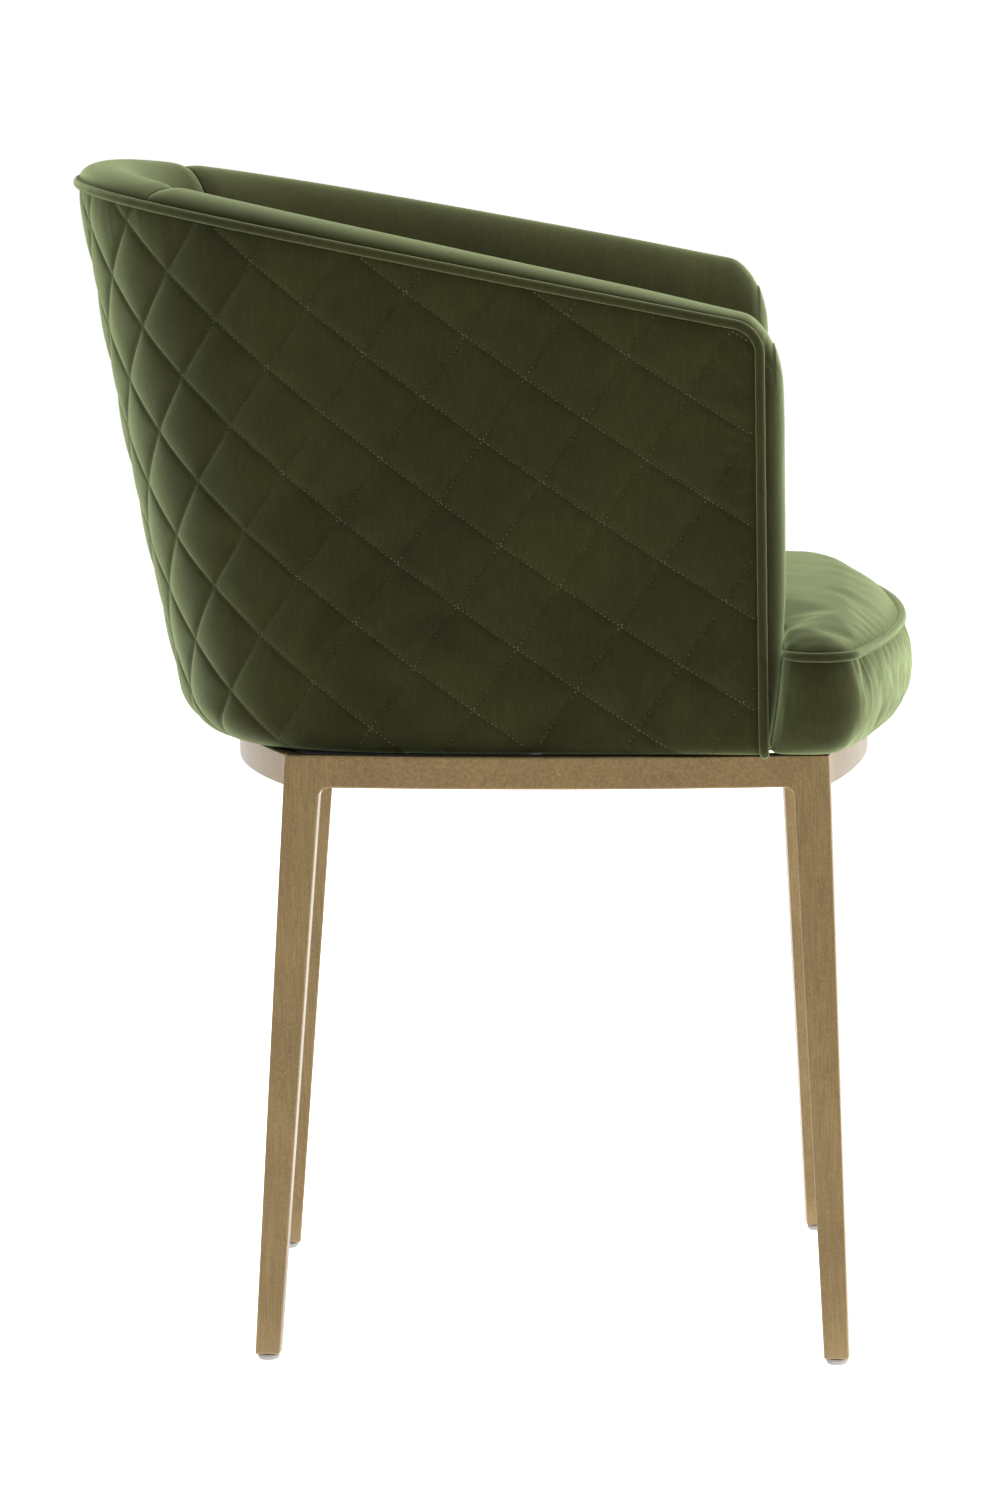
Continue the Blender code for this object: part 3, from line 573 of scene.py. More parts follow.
def quilt_height(t, z):
    """How far the quilted face stands off the tub's plain face."""
    a, b = DEVELOPMENT.diamond(t, z)
    near_a = abs(a - round(a)) * QUILT_SQUARE
    near_b = abs(b - round(b)) * QUILT_SQUARE
    swell = (1 - exp(-near_a / PUFF_REACH)) * (1 - exp(-near_b / PUFF_REACH))
    groove = exp(-(min(near_a, near_b) / GROOVE_WIDTH) ** 2)
    top = max(panel_top(t) - z, 0.0)
    arc_left = max(raw_plan(t, z)[1] - WELT_FRONT, 0.0)
    edge = min(top, arc_left, 0.6 * max(z - SHELL_BOTTOM, 0.0) + 0.004)
    fade = 1 - exp(-edge / HEM_EDGE)
    rumple = 0.0005 * wander(a * 1.7, b * 1.7, 3.0)
    fan = (z - 0.60) / (0.05 + arc_left)
    pucker = wander(fan * 9.0, arc_left * 20.0, 6.0 + math.copysign(1.0, t))
    pucker *= exp(-arc_left / 0.028) * ease((z - 0.49) / 0.08)
    gather = wander(t * 60.0, top * 12.0, 2.0) * exp(-top / 0.022)
    rumple += 0.0016 * pucker + 0.0006 * gather
    return (QUILT_PUFF * swell - QUILT_GROOVE * groove + rumple) * fade - HEM_SINK * (1 - fade)


PANEL_BOTTOM = RAIL_TOP + 0.0009


def lowered(point):
    """The same place on the underside, just above the rail."""
    return Vector((point.x, point.y, RAIL_TOP + 0.0004))


def quilted_panel():
    """The quilted outer panel, with its edges turned in under the piping and the tub."""
    rows = []
    for t in spread(-PANEL_FRONT, PANEL_FRONT, QUILT_COLUMNS):
        top = panel_top(t)
        column = [lowered(tub_point(t, SHELL_BOTTOM, -depth)) for depth in (HEM_DEPTH, HEM_EDGE)]
        for step in spread(0.0, 1.0, QUILT_ROWS):
            z = PANEL_BOTTOM + step * (top - PANEL_BOTTOM)
            column.append(tub_point(t, z, quilt_height(t, z)))
        column.append(tub_point(t, top, -HEM_EDGE))
        rows.append(column)
    piece = new_piece("quilted_panel", skin("quilted_panel", rows), VELVET_QUILTED)
    shell = piece.modifiers.new("thickness", "SOLIDIFY")
    shell.thickness = QUILT_THICKNESS
    shell.offset = -1.0
    return piece


def quilt_stitches():
    """Sewing thread sunk in every quilted line."""
    store = ([], [])
    pitch = STITCH_PITCH / QUILT_SQUARE
    for family in (0, 1):
        for line in range(-QUILT_LINES, QUILT_LINES + 1):
            run, normals = [], []
            for i in range(round(-QUILT_LINES / pitch), round(QUILT_LINES / pitch) + 1):
                a, b = (line, i * pitch) if family == 0 else (i * pitch, line)
                t, z = DEVELOPMENT.place(a, b)
                inside = SHELL_BOTTOM + 0.004 < z < panel_top(t) - 0.004
                if not inside or abs(t) > PANEL_FRONT - 0.004:
                    add_run(store, run, normals)
                    run, normals = [], []
                    continue
                run.append(tub_point(t, z, quilt_height(t, z) + 0.0001))
                nx, ny = outward(t, z)
                normals.append(Vector((nx, ny, -0.15)).normalized())
            add_run(store, run, normals)
    return stitches_piece("quilt_stitches", store, THREAD)


def add_run(store, run, normals):
    """Add one unbroken run of stitches."""
    if len(run) > 1:
        add_stitches(store, run, normals, STITCH_PITCH * THREAD_SHARE, THREAD_RADIUS)


# ---- inner back ---------------------------------------------------------------------------
WALL_STEPS, ROLL_STEPS, FACE_STEPS, NOSE_STEPS = 22, 24, 36, 18
NOSE_TURN = radians(89.0)
ROLL_RISE, CORNER_ROLL = 0.0060, 0.0205      # least height of the roll, behind and at the corner
ROLL_FALL = 0.042
PAD_GAP = 0.0016
PAD_CROWN = 0.0040
SEAM_STITCH_GAP = 0.0044
HIDDEN_OFFSET = -0.0180      # back of the padding, inside the tub
OPEN_OFFSET = -0.0010        # ... and where it shows, in front of the piping
SEAT_LEVEL = BOARD_TOP + 0.0003


def arm_drop(y):
    """How far the rim has rounded down towards the front of the arm, at y."""
    share = min(max(0.0, ARM_FRONT + ARM_CORNER_DEPTH - y) / ARM_CORNER_DEPTH, 1.0)
    return ARM_CORNER_HEIGHT * (1 - sqrt(1 - share ** 2))


def nose_y(z):
    """Front edge of the arm in side view: upright, then falling back towards the rail."""
    below = max(0.0, ARM_MIDDLE - z) / (ARM_MIDDLE - SHELL_BOTTOM)
    return ARM_FRONT + ARM_FOOT_BACK * below ** 2.5


def seam_sink(t):
    """How far the cover is drawn in at an inner seam and at its two rows of stitches."""
    arc = abs(abs(t) - PANEL_SEAM) * 0.52
    stitch_line = exp(-((arc - 0.0023) / 0.0008) ** 2)
    seam_line = exp(-(arc / 0.0008) ** 2)
    hollow = exp(-(arc / 0.010) ** 2)
    return 0.0014 * seam_line + 0.0009 * stitch_line + 0.0020 * hollow


def pad_profile(t, y, outer, bottom, squeeze=1.0):
    """Section of the padding as (offset, height): up the outside, over the roll, down inside."""
    crest = crest_height(t) - arm_drop(y)
    ahead = max(y - WELT_FRONT, 0.0)
    roll = ROLL_RISE if squeeze == 1.0 else CORNER_ROLL * squeeze
    start = min(seam_height(t) - corner_drop(ahead) + PAD_GAP, crest - roll)
    middle = -PAD_INNER / 2
    half = (PAD_INNER / 2 - PAD_GAP) * squeeze
    edge = middle + (outer - middle) * squeeze
    sink = seam_sink(t)
    points = [(edge, z) for z in spread(bottom, start - 0.0005, WALL_STEPS)]
    for i in range(ROLL_STEPS + 1):
        angle = pi * i / ROLL_STEPS
        if i <= ROLL_STEPS // 2:
            z = start + (crest - start) * sin(angle) ** 0.9
        else:
            z = crest - ROLL_FALL * (1 - sin(angle))
        across = middle + half * cos(angle) + sink * max(-cos(angle), 0.0)
        points.append((across, z - sink * sin(angle)))
    low = crest - ROLL_FALL
    for i in range(1, FACE_STEPS + 1):
        share = i / FACE_STEPS
        crown = PAD_CROWN * sin(pi * min(1.0, share * 1.1)) * squeeze
        points.append((middle - half - crown + sink, low + (bottom - low) * share))
    return points


def pad_ruck(t, z):
    """Soft dents and fine creases of the cover."""
    soft = wander(t * 7.0, z * 14.0, 1.0)
    near_seam = exp(-abs(abs(t) - PANEL_SEAM) / 0.05)
    crease = wander(t * 22.0, z * 60.0, 5.0)
    near_arm = ease((abs(t) - 0.75) / 0.2)
    upright = wander(t * 75.0, z * 9.0, 8.0)
    return 0.0013 * soft + 0.0007 * crease * (0.25 + near_seam) + 0.0006 * upright * near_arm


PAD_END = place_at_front(NOSE_START + 0.0003, ARM_MIDDLE)
SQUARED_FROM = 0.88          # from here to its end the padding's section turns square to the arm


def pad_row(t):
    """One section of the padding behind the arm's front."""
    row = []
    square = ease((abs(t) - SQUARED_FROM) / (PAD_END - SQUARED_FROM))
    y = raw_plan(t, SEAM_HEIGHT)[1]
    for index, (offset, z) in enumerate(pad_profile(t, y, HIDDEN_OFFSET, SEAT_LEVEL)):
        rolled = index - WALL_STEPS
        facing = 0.0 if rolled < 2 else ease((rolled - 2) / 8.0)
        place = tub_point(t, z, offset - facing * pad_ruck(t, z))
        place.y += (raw_plan(t, z)[1] - place.y) * square
        row.append(place)
    return row


def arm_nose(side):
    """Sections that close the padding round the front edge of an arm, down to the rail."""
    rows = []
    for i in range(NOSE_STEPS + 1):
        turn = NOSE_TURN * i / NOSE_STEPS
        top_y = NOSE_START + (ARM_FRONT - NOSE_START) * sin(turn)
        t = place_at_front(NOSE_START + (top_y - NOSE_START) / 2, ARM_MIDDLE)
        row = []
        for offset, z in pad_profile(t, top_y, OPEN_OFFSET, RAIL_TOP + 0.0006, cos(turn)):
            place = tub_point(side * t, z, offset - pad_ruck(side * t, z) * cos(turn))
            place.y = NOSE_START + (nose_y(z) - NOSE_START) * sin(turn)
            dent = wander(z * 30.0, side * 3.0, place.x * 40.0)
            row.append(place + Vector((0.0, 0.0005 * dent * sin(turn), 0.0)))
        rows.append(row)
    return rows


def inner_panels():
    """Three sewn panels of the inner cover, padded and rolled over the rim."""
    made = []
    for name, first, last, count in (("inner_back_panel", -PANEL_SEAM, PANEL_SEAM, 200),
                                     ("inner_arm_panel_left", PANEL_SEAM, PAD_END, 220),
                                     ("inner_arm_panel_right", -PAD_END, -PANEL_SEAM, 220)):
        rows = [pad_row(t) for t in spread(first, last, count)]
        if "left" in name:
            rows += arm_nose(1)
        if "right" in name:
            rows = arm_nose(-1)[::-1] + rows
        piece = new_piece(name, skin(name, rows, around=True, caps=True), VELVET_INNER)
        piece.data.set_sharp_from_angle(angle=radians(70))
        made.append(piece)
    return made


def inner_seam_stitches():
    """Two rows of stitching beside each inner seam, from the piping down to the seat."""
    store = ([], [])
    first = WALL_STEPS + 2
    for side in (1, -1):
        for shift in (-SEAM_STITCH_GAP, SEAM_STITCH_GAP):
            path = resample(pad_row(side * (PANEL_SEAM + shift))[first:-1], STITCH_PITCH)
            hollow = Vector((0.0, -0.02, 0.82))
            normals = []
            for a, b in zip(path, path[1:]):
                along = (b - a).normalized()
                toward = hollow - a
                normals.append((toward - along * toward.dot(along)).normalized())
            add_stitches(store, path, normals, 0.0027, 0.00045)
    return stitches_piece("inner_seam_stitches", store, THREAD)


CORD_OFFSET, CORD_CLEARANCE, CORD_PITCH = -0.0001, 0.0008, 0.0028
CORD_RIM_STEPS, CORD_CORNER_STEPS, CORD_ARM_STEPS = 160, 16, 80


def cord_radius(radius, row, layer):
    """The slightly uneven radius of a piping cord, as a function of the point's index."""
    return lambda i: radius * (1.0 + 0.05 * wander(i * 0.21, row, layer))


def back_welt():
    """Piping up one arm, round the rim and down the other."""
    corner = ARM_CORNER_RADIUS
    half = [tub_point(t, seam_height(t), CORD_OFFSET)
            for t in spread(0.0, place_at_front(WELT_FRONT + corner, ARM_TOP), CORD_RIM_STEPS)]
    for i in range(1, CORD_CORNER_STEPS + 1):
        angle = radians(90) * i / CORD_CORNER_STEPS
        t = place_at_front(WELT_FRONT + corner * (1 - sin(angle)), ARM_TOP)
        half.append(tub_point(t, seam_height(t) - corner * (1 - cos(angle)), CORD_OFFSET))
    for z in spread(half[-1].z, RAIL_TOP + CORD_CLEARANCE, CORD_ARM_STEPS)[1:]:
        half.append(tub_point(place_at_front(WELT_FRONT, z), z, CORD_OFFSET))
    path = [Vector((-p.x, p.y, p.z)) for p in half[:0:-1]] + half
    path = resample(path, CORD_PITCH)
    return tube("back_piping", path, cord_radius(WELT_RADIUS, 0.0, 7.0), VELVET_PIPING, sides=16)


# ---- seat ---------------------------------------------------------------------------------
def seat_rear(inset):
    """The seat's outline along the padding, from the middle of the back to the throat."""
    offset = -(PAD_INNER + SEAT_CLEARANCE + inset)
    return [tub_point(t, SEAT_LEVEL, offset).xy[:]
            for t in spread(0.0, place_at_front(SEAT_THROAT_Y, SEAT_LEVEL), 40)]


def seat_front(inset, back):
    """The seat's outline in front of the arms; back is where its ears meet the arms."""
    radius = SEAT_EAR_RADIUS - inset
    centre = SEAT_EAR_BACK - SEAT_EAR_RADIUS
    points = []
    for i in range(19):
        angle = radians(90 - 9.33 * i)
        depth = back - centre if angle > 0 else radius
        points.append((SEAT_EAR_X + radius * cos(angle), centre + depth * sin(angle)))
    edge, middle = points[-1], SEAT_FRONT + inset
    for share in spread(1.0, 0.0, 32)[1:]:
        points.append((edge[0] * share, middle + (edge[1] - middle) * share ** 2))
    return points


def seat_outline(inset, back):
    """The seat's outline: inside the tub, then out to the ears and round the front."""
    rear = seat_rear(max(inset, 0.0))
    half = rear + [(rear[-1][0] + 0.003, back)] + seat_front(inset, back)
    return half + [(-x, y) for x, y in half[-2:0:-1]]


def line_distance(x, y, line):
    """Distance from a place to a row of close points."""
    return min(math.hypot(x - other_x, y - other_y) for other_x, other_y in line)


SEAT_LINES = (seat_rear(0.0), seat_front(0.0, SEAT_EAR_BACK)[4:])
SEAT_EDGE_TOP = SEAT_WELT_Z + 0.0016


def crown_height(x, y):
    """Height of the seat's top, from its distance to the piping round its front and rear."""
    edge = min(line_distance(abs(x), y, line) for line in SEAT_LINES)
    rise = (EDGE_RISE - EDGE_FALLOFF * x ** 2) * (1 - exp(-edge / EDGE_SOFTNESS))
    beside_arm = exp(-max(0.0, nose_y(SEAT_WELT_Z) - y) / 0.008) if abs(x) > 0.214 else 0.0
    return SEAT_EDGE_TOP + rise * (1 - 0.35 * beside_arm) + CROWN_SLOPE * edge


def seat_welt_path(shift):
    """Centre line of the seat's piping."""
    outline = seat_outline(shift, nose_y(SEAT_WELT_Z) - 0.0020)
    points = [Vector((x, y, SEAT_WELT_Z)) for x, y in outline]
    return resample(points + points[:1], 0.0035)[:-1]


SEAT_SIDE = ((0.026, 0.4134), (0.0160, 0.4137), (0.0070, 0.4172), (0.0000, 0.4250), (-0.0045, 0.4360),
             (-0.0062, 0.4470), (-0.0052, 0.4600), (-0.0022, 0.4710), (0.0012, 0.4780),
             (0.0022, SEAT_WELT_Z))
SEAT_TOP_INSETS = (0.0026, 0.0050, 0.0085, 0.0130, 0.0185)
SEAT_TOP_SHARES = (0.92, 0.84, 0.74, 0.62, 0.48, 0.34, 0.2, 0.08)
SEAT_VOXEL = 0.0042
SEAT_SWELL = 0.0016          # most that the stuffing pushes the cover out
CLOTH_FRAMES = 20
TOP_DENT, SIDE_DENT = 0.0009, 0.0012
GATHER_DEPTH, TUCK_DEPTH = 0.0008, 0.0012


def seat_cushion():
    """The stuffed seat: its cover is blown up between its seams, then gathered at the corners."""
    rings = []
    for inset, z in SEAT_SIDE:
        back = nose_y(z) - 0.0002
        rings.append([(x, y, z) for x, y in seat_outline(inset, back)])
    back = nose_y(SEAT_WELT_Z) - 0.0002
    for inset in SEAT_TOP_INSETS:
        rings.append([(x, y, crown_height(x, y)) for x, y in seat_outline(inset, back)])
    shoulder = rings[-1]
    for share in SEAT_TOP_SHARES:
        ring = [(x * share, CROWN_CENTRE_Y + (y - CROWN_CENTRE_Y) * share) for x, y, _ in shoulder]
        rings.append([(x, y, crown_height(x, y)) for x, y in ring])
    piece = new_piece("seat_cushion", skin("seat_cushion", rings, around=True, caps=True), VELVET_SEAT)
    remesh = piece.modifiers.new("even", "REMESH")
    remesh.mode = "VOXEL"
    remesh.voxel_size = SEAT_VOXEL
    bake(piece)
    inflate(piece)
    finer = piece.modifiers.new("fine", "SUBSURF")
    finer.levels = finer.render_levels = 1
    bake(piece)
    for vertex in piece.data.vertices:
        vertex.co += seat_detail(vertex.co)
    return piece


def bake(piece):
    """Turn a piece's modifiers into its mesh."""
    graph = bpy.context.evaluated_depsgraph_get()
    mesh = bpy.data.meshes.new_from_object(piece.evaluated_get(graph))
    mesh.shade_smooth()
    old = piece.data
    piece.modifiers.clear()
    piece.data = mesh
    bpy.data.meshes.remove(old)


def inflate(piece):
    """Blow the cover up with its seams held, and cap how far it moves."""
    rest = [vertex.co.copy() for vertex in piece.data.vertices]
    held = piece.vertex_groups.new(name="seams")
    for vertex in piece.data.vertices:
        x, y, z = vertex.co
        on_seam = abs(z - SEAT_WELT_Z) < 0.0035 and line_distance(abs(x), y, SEAT_LINES[1]) < 0.006
        by_arm = y > nose_y(z) - 0.004 and abs(x) > 0.20
        if on_seam or by_arm or z < 0.4165 or y > -0.15 and z < 0.480:
            held.add([vertex.index], 1.0, "REPLACE")
    cloth = piece.modifiers.new("cloth", "CLOTH")
    settings = cloth.settings
    settings.quality = 6
    settings.vertex_group_mass = held.name
    settings.use_pressure = True
    settings.uniform_pressure_force = 4.0
    settings.shrink_min = -0.008
    settings.bending_stiffness = 6.0
    settings.effector_weights.gravity = 0.0
    cloth.point_cache.frame_start, cloth.point_cache.frame_end = 1, CLOTH_FRAMES
    scene = bpy.context.scene
    for number in range(1, CLOTH_FRAMES + 1):
        scene.frame_set(number)
    bake(piece)
    for vertex, start in zip(piece.data.vertices, rest):
        move = vertex.co - start
        if move.length > SEAT_SWELL:
            vertex.co = start + move.normalized() * SEAT_SWELL
    scene.frame_set(1)
    calm = piece.modifiers.new("calm", "SMOOTH")
    calm.factor = 0.5
    calm.iterations = 6
    bake(piece)


def seat_detail(place):
    """Gathers under the piping at the corners, the tucked lower edge and soft dents."""
    x, y, z = place
    dent = wander(x * 24, y * 24, z * 18)
    fine = wander(x * 70, y * 70, z * 50)
    if z > SEAT_WELT_Z + 0.002:
        return Vector((0.0, 0.0, TOP_DENT * dent + 0.0002 * fine))
    if y > nose_y(z) - 0.004:
        return Vector()
    out = Vector((math.copysign(max(abs(x) - 0.235, 0.0), x), y + 0.190, 0.0)).normalized()
    below = max(SEAT_WELT_Z - z, 0.0)
    corner = exp(-((abs(x) - 0.262) / 0.030) ** 2) * ease((-0.205 - y) / 0.02)
    around = math.atan2(-(y + 0.200), abs(x) - 0.230)
    fold = sin(around * 23.0 + 3.4 * wander(around * 5, below * 24, 4.0 + x))
    gather = exp(-below / 0.016) * (1 - exp(-below / 0.004))
    low = exp(-((z - 0.424) / 0.010) ** 2)
    tuck_fold = wander(math.atan2(y + 0.1, x) * 26.0, 2.0, z * 30.0)
    shift = GATHER_DEPTH * fold * gather * (0.10 + 0.90 * corner)
    shift += SIDE_DENT * dent + 0.0003 * fine + TUCK_DEPTH * tuck_fold * low
    return out * shift


def seat_welt():
    """Piping round the seat."""
    radius = cord_radius(WELT_RADIUS - 0.0001, 4.0, 1.0)
    return tube("seat_piping", seat_welt_path(-0.0004), radius, VELVET_PIPING, closed=True)


# ---- base ---------------------------------------------------------------------------------
UNDERSIDE = RAIL_TOP - RAIL_HEIGHT
GRIND_START, GRIND_END = -0.197, 0.118      # the rail's fine-grained stretch
LEG_STEPS, RAIL_STEPS, FILLET_STEPS, BAND_STEPS = 14, 22, 8, 41
BAND_LAP = 0.004             # how far a band reaches into a leg


def frame_lines():
    """Outer and inner edges of a side frame in its own plane: (distance forward, height)."""
    run = math.hypot(FRONT_LEG_TOP[0] - REAR_LEG_TOP[0], FRONT_LEG_TOP[1] - REAR_LEG_TOP[1])
    turn = LEG_TOE_IN
    rear_foot = -(REAR_LEG_FOOT[1] - REAR_LEG_TOP[1]) * cos(turn) \
        + (REAR_LEG_FOOT[0] - REAR_LEG_TOP[0]) * sin(turn)
    front_foot = run - (FRONT_LEG_FOOT[1] - FRONT_LEG_TOP[1]) * cos(turn) \
        + (FRONT_LEG_FOOT[0] - FRONT_LEG_TOP[0]) * sin(turn)
    half_top, half_foot = LEG_TOP_WIDTH / 2, LEG_FOOT_WIDTH / 2
    radius = RAIL_FILLET

    def leg_edges(share, centre_top, centre_foot, facing):
        """Outer and inner edge of a leg, share of the way up."""
        centre = centre_foot + (centre_top - centre_foot) * share
        half = half_foot + (half_top - half_foot) * share
        return centre - facing * half, centre + facing * half

    def one_end(centre_top, centre_foot, facing):
        """From the foot up, round the fillet, to the start of the rail's plain stretch."""
        pairs = []
        height = RAIL_TOP - FOOT_Z
        top_share = (UNDERSIDE - radius - FOOT_Z) / height
        for share in spread(0.0, top_share, LEG_STEPS):
            outer, inner = leg_edges(share, centre_top, centre_foot, facing)
            z = FOOT_Z + share * height
            pairs.append(((outer, z), (inner, z)))
        outer_low, inner_low = leg_edges(top_share, centre_top, centre_foot, facing)
        corner = leg_edges(1.0, centre_top, centre_foot, facing)[0]
        centre = inner_low + facing * radius
        half_way = FILLET_STEPS // 2
        for i in range(1, FILLET_STEPS + 1):
            angle = radians(90) * i / FILLET_STEPS
            inner = (centre - facing * radius * cos(angle), UNDERSIDE - radius + radius * sin(angle))
            share = i / half_way
            if share <= 1:
                outer = (outer_low + (corner - outer_low) * share,
                         UNDERSIDE - radius + (RAIL_HEIGHT + radius) * share)
            else:
                outer = (corner + (centre - corner) * (share - 1), RAIL_TOP)
            pairs.append((outer, inner))
        return pairs, centre

    rear, rear_end = one_end(0.0, rear_foot, 1)
    front, front_end = one_end(run, front_foot, -1)
    middle = [((s, RAIL_TOP), (s, UNDERSIDE)) for s in spread(rear_end, front_end, RAIL_STEPS)[1:-1]]
    return rear + middle + front[::-1], run


def side_frame(side):
    """Two legs and their rail, welded and ground into one frame."""
    pairs, run = frame_lines()
    turn = LEG_TOE_IN
    forward = Vector((sin(turn), -cos(turn), 0.0))
    across = Vector((cos(turn), sin(turn), 0.0))
    start = Vector((*REAR_LEG_TOP, 0.0))
    clear = LEG_TOP_WIDTH / 2
    rear_splay = (Vector((*REAR_LEG_FOOT, 0)) - Vector((*REAR_LEG_TOP, 0))).dot(across)
    front_splay = (Vector((*FRONT_LEG_FOOT, 0)) - Vector((*FRONT_LEG_TOP, 0))).dot(across)

    def centre(s, z):
        """Middle of the frame's thickness, s along it from the rear leg and z up."""
        share = min(max((s - clear) / (run - 2 * clear), 0.0), 1.0)
        drop = (RAIL_TOP - z) / (RAIL_TOP - FOOT_Z)
        bow = 4 * SIDE_RAIL_BOW * share * (1 - share)
        splay = (rear_splay if s < run / 2 else front_splay) * drop
        return start + forward * s + across * (bow + splay) + Vector((0, 0, z))

    rows = []
    for outer, inner in pairs:
        half = across * LEG_THICKNESS / 2
        rows.append([centre(*outer) + half, centre(*inner) + half,
                     centre(*inner) - half, centre(*outer) - half])
    if side < 0:
        rows = [[Vector((-p.x, p.y, p.z)) for p in row] for row in rows]
    name = "side_frame_" + ("left" if side > 0 else "right")
    piece = new_piece(name, skin(name, rows, around=True, caps=True), [BRASS_UPRIGHT, BRASS_RAIL])
    for face in piece.data.polygons:
        if face.center.z > UNDERSIDE - 0.001 and GRIND_START < face.center.y < GRIND_END:
            face.material_index = 1
    return round_edges(piece)


def round_edges(piece, width=0.0013):
    """Ease the sharp edges."""
    modifier = piece.modifiers.new("edges", "BEVEL")
    modifier.width = width
    modifier.segments = 3
    modifier.limit_method = "ANGLE"
    modifier.angle_limit = radians(32)
    modifier.harden_normals = True
    return piece


def curved_band(name, centre_y, middle_y, half_span):
    """A bowed band between two legs, let into them at its ends."""
    rows = []
    for share in spread(-1.0, 1.0, BAND_STEPS):
        x = share * half_span
        y = centre_y + (middle_y - centre_y) * (1 - share ** 2)
        slope = -2 * (middle_y - centre_y) * share / half_span
        half = RAIL_THICKNESS / 2 * sqrt(1 + slope ** 2)
        rows.append([(x, y - half, UNDERSIDE), (x, y + half, UNDERSIDE),
                     (x, y + half, RAIL_TOP), (x, y - half, RAIL_TOP)])
    piece = new_piece(name, skin(name, rows, around=True, caps=True), BRASS_RAIL)
    return round_edges(piece, 0.0011)


def bands():
    """Front and rear bands of the base."""
    inner = LEG_THICKNESS / 2 - BAND_LAP
    turn = LEG_TOE_IN
    front_y = FRONT_LEG_TOP[1] - (LEG_TOP_WIDTH - RAIL_THICKNESS) / 2 * cos(turn)
    rear_y = REAR_LEG_TOP[1] + (LEG_TOP_WIDTH - RAIL_THICKNESS) / 2 * cos(turn)
    front = curved_band("front_band", front_y, FRONT_BAND + RAIL_THICKNESS / 2,
                        FRONT_LEG_TOP[0] - inner)
    rear = curved_band("rear_band", rear_y, REAR_BAND - RAIL_THICKNESS / 2,
                       REAR_LEG_TOP[0] - inner)
    return front, rear


def painted_shade_strip():
    """A black strip of painted shade: it lies on the rails and closes the gap round the tub."""
    rear_share = 0.3         # share of the strip that lies on the rear band
    end = FRONT_LEG_TOP[1] + LEG_TOP_WIDTH / 2
    low, high = RAIL_TOP + 0.0001, RAIL_TOP + 0.0003
    rows = []
    for share in spread(-1.0, 1.0, 161):
        side = math.copysign(1.0, share)
        if abs(share) < rear_share:
            x = REAR_LEG_TOP[0] * share / rear_share
            middle = REAR_BAND - RAIL_THICKNESS / 2
            y = REAR_LEG_TOP[1] + (middle - REAR_LEG_TOP[1]) * (1 - (share / rear_share) ** 2)
        else:
            along = (abs(share) - rear_share) / (1 - rear_share)
            bow = 4 * SIDE_RAIL_BOW * along * (1 - along)
            x = side * (REAR_LEG_TOP[0] + (FRONT_LEG_TOP[0] - REAR_LEG_TOP[0]) * along + bow)
            y = REAR_LEG_TOP[1] + (end - REAR_LEG_TOP[1]) * along
        tub = tub_point(share * place_at_front(end, SHELL_BOTTOM), SHELL_BOTTOM, -HEM_EDGE)
        rows.append([(tub.x, tub.y, low), (tub.x, tub.y, high), (x, y, high), (x, y, low)])
    return new_piece("painted_shade_strip", skin("painted_shade_strip", rows, around=True, caps=True), LINING)


GLIDE_SIDES = 40


def glide(name, foot, side):
    """A moulded nylon glide: bevelled foot, flange and stem."""
    profile = ((0.0, 0.0), (0.0052, 0.0), (0.0060, 0.0003), (0.0070, 0.0014), (GLIDE_RADIUS, 0.0021),
               (GLIDE_RADIUS, 0.0034), (GLIDE_RADIUS - 0.0004, GLIDE_HEIGHT),
               (GLIDE_STEM, GLIDE_HEIGHT + 0.0002), (GLIDE_STEM, GLIDE_HEIGHT + 0.0105),
               (0.0030, GLIDE_HEIGHT + 0.0115))
    rows = []
    for radius, z in profile:
        radius = max(radius, 0.00002)
        rows.append([(side * foot[0] + radius * cos(a), foot[1] + radius * sin(a), z)
                     for a in (2 * pi * k / GLIDE_SIDES for k in range(GLIDE_SIDES))])
    piece = new_piece(name, skin(name, rows, around=True, caps=True), NYLON)
    piece.data.set_sharp_from_angle(angle=radians(50))
    return piece


# ---- put the chair together ---------------------------------------------------------------
def dress():
    """Make every piece, hide the CAD nodes it stands for, and give the rest their looks."""
    panel = quilted_panel()
    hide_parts("quilted_cover")
    thread = quilt_stitches()
    made = [panel, thread]

    centre, left, right = inner_panels()
    for piece, node in ((centre, "inner_pad_center"), (left, "inner_pad_left"),
                        (right, "inner_pad_right")):
        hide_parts(node)
        made.append(piece)
    seams = inner_seam_stitches()
    piping = back_welt()
    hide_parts("back_welt")
    made += [seams, piping]

    cushion = seat_cushion()
    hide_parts("seat_top_cover", "seat_side_band", "seat_foam")
    seat_piping = seat_welt()
    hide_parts("seat_welt")
    made += [cushion, seat_piping]

    for side, label in ((1, "left"), (-1, "right")):
        piece = side_frame(side)
        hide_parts("leg_front_" + label, "leg_rear_" + label, "side_rail_" + label)
        made.append(piece)
        for end, foot in (("front", FRONT_LEG_FOOT), ("rear", REAR_LEG_FOOT)):
            node = "glide_" + end + "_" + label
            pad = glide("nylon_" + node, foot, side)
            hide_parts(node)
            made.append(pad)
    for piece, node in zip(bands(), ("front_rail", "rear_rail")):
        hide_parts(node)
        made.append(piece)
    # black strip of painted shade between the tub and the rails
    shade_strip = painted_shade_strip()
    made.append(shade_strip)
    for piece in made:
        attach(piece, "root")

    looks = {"brass_frame": BRASS_RAIL, "zinc_screw": STEEL, "plywood": PLYWOOD, "foam": FOAM,
             "lining": LINING, "nylon_glide": NYLON}
    for entry in frame["record"]["subparts"]:
        look = looks.get(entry["material_slot"])
        node = frame["nodes"][entry["node"]]
        if look and node.material_slots:
            for slot in node.material_slots:
                slot.material = look


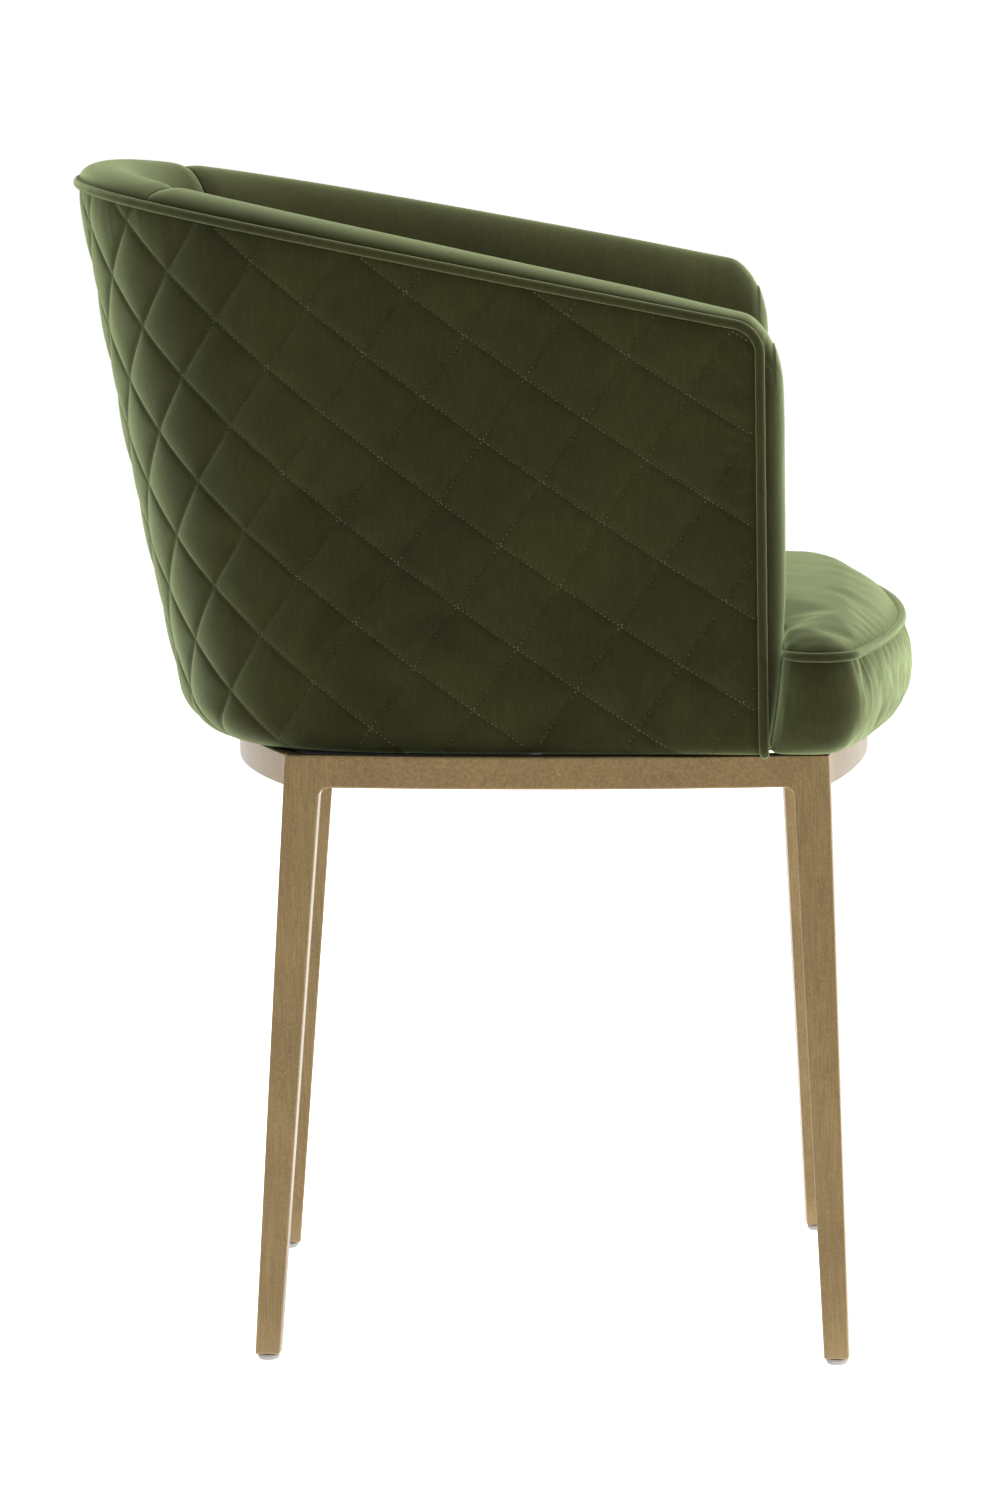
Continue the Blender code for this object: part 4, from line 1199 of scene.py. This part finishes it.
# ---- stage --------------------------------------------------------------------------------
FLOOR_REACH = 60.0
LENS, SENSOR = 222.13, 36.0


def floor():
    """A plain pale floor."""
    mesh = bpy.data.meshes.new("floor")
    corners = [(x * FLOOR_REACH, y * FLOOR_REACH, 0) for x, y in ((-1, -1), (1, -1), (1, 1), (-1, 1))]
    mesh.from_pydata(corners, [], [(0, 1, 2, 3)])
    n = Nodes("pale_floor")
    dust = n.noise(3.0, 3.0)
    n.set(Base_Color=n.mix(dust, (0.90, 0.90, 0.90), (0.93, 0.93, 0.93)), Roughness=0.9,
          Emission_Color=(1.0, 1.0, 1.0, 1.0), Emission_Strength=0.86)
    mesh.materials.append(n.made)
    ground = bpy.data.objects.new("floor", mesh)
    bpy.context.scene.collection.objects.link(ground)


def softbox(name, place, target, size, power):
    """A soft studio light."""
    data = bpy.data.lights.new(name, "AREA")
    data.shape = "RECTANGLE"
    data.size, data.size_y = size
    data.energy = power
    light = bpy.data.objects.new(name, data)
    light.location = place
    light.rotation_euler = (Vector(target) - Vector(place)).to_track_quat("-Z", "Y").to_euler()
    bpy.context.scene.collection.objects.link(light)


def studio():
    """Soft light from above and in front of the chair, against white."""
    softbox("overhead", (0.4, -0.3, 2.6), (0.0, 0.0, 0.4), (2.6, 2.2), 80.0)
    softbox("front_key", (0.2, -2.6, 1.5), (0.0, 0.0, 0.5), (1.8, 1.8), 62.0)
    softbox("rear_fill", (0.6, 2.8, 1.3), (0.0, 0.0, 0.5), (1.6, 1.8), 4.0)
    softbox("rear_top", (-1.2, 1.3, 2.4), (0.0, 0.0, 0.6), (1.0, 1.0), 8.0)
    softbox("camera_fill", (-3.2, -0.6, 1.2), (0.0, 0.0, 0.4), (2.4, 1.8), 7.0)
    softbox("far_fill", (3.0, -0.6, 1.4), (0.0, 0.0, 0.4), (2.4, 1.8), 30.0)
    world = bpy.data.worlds.new("white")
    bpy.context.scene.world = world
    world.use_nodes = True
    tree = world.node_tree
    dim = tree.nodes["Background"]
    white = tree.nodes.new("ShaderNodeBackground")
    for node, strength in ((dim, 0.20), (white, 1.05)):
        node.inputs["Color"].default_value = (1.0, 1.0, 1.0, 1.0)
        node.inputs["Strength"].default_value = strength
    path = tree.nodes.new("ShaderNodeLightPath")
    mix = tree.nodes.new("ShaderNodeMixShader")
    tree.links.new(path.outputs["Is Camera Ray"], mix.inputs["Fac"])
    tree.links.new(dim.outputs[0], mix.inputs[1])
    tree.links.new(white.outputs[0], mix.inputs[2])
    tree.links.new(mix.outputs[0], tree.nodes["World Output"].inputs["Surface"])


def camera():
    """The photographer's place: square to the right side, a little above the seat back."""
    data = bpy.data.cameras.new("camera")
    data.lens = LENS
    data.sensor_width = SENSOR
    data.clip_end = 200.0
    made = bpy.data.objects.new("camera", data)
    made.location = (-6.3983, -0.0632, 1.1721)
    made.rotation_euler = Euler((radians(83.008), radians(0.850), radians(-89.509)))
    bpy.context.scene.collection.objects.link(made)
    bpy.context.scene.camera = made


dress()
floor()
studio()
camera()
bpy.context.scene.view_settings.view_transform = "Standard"
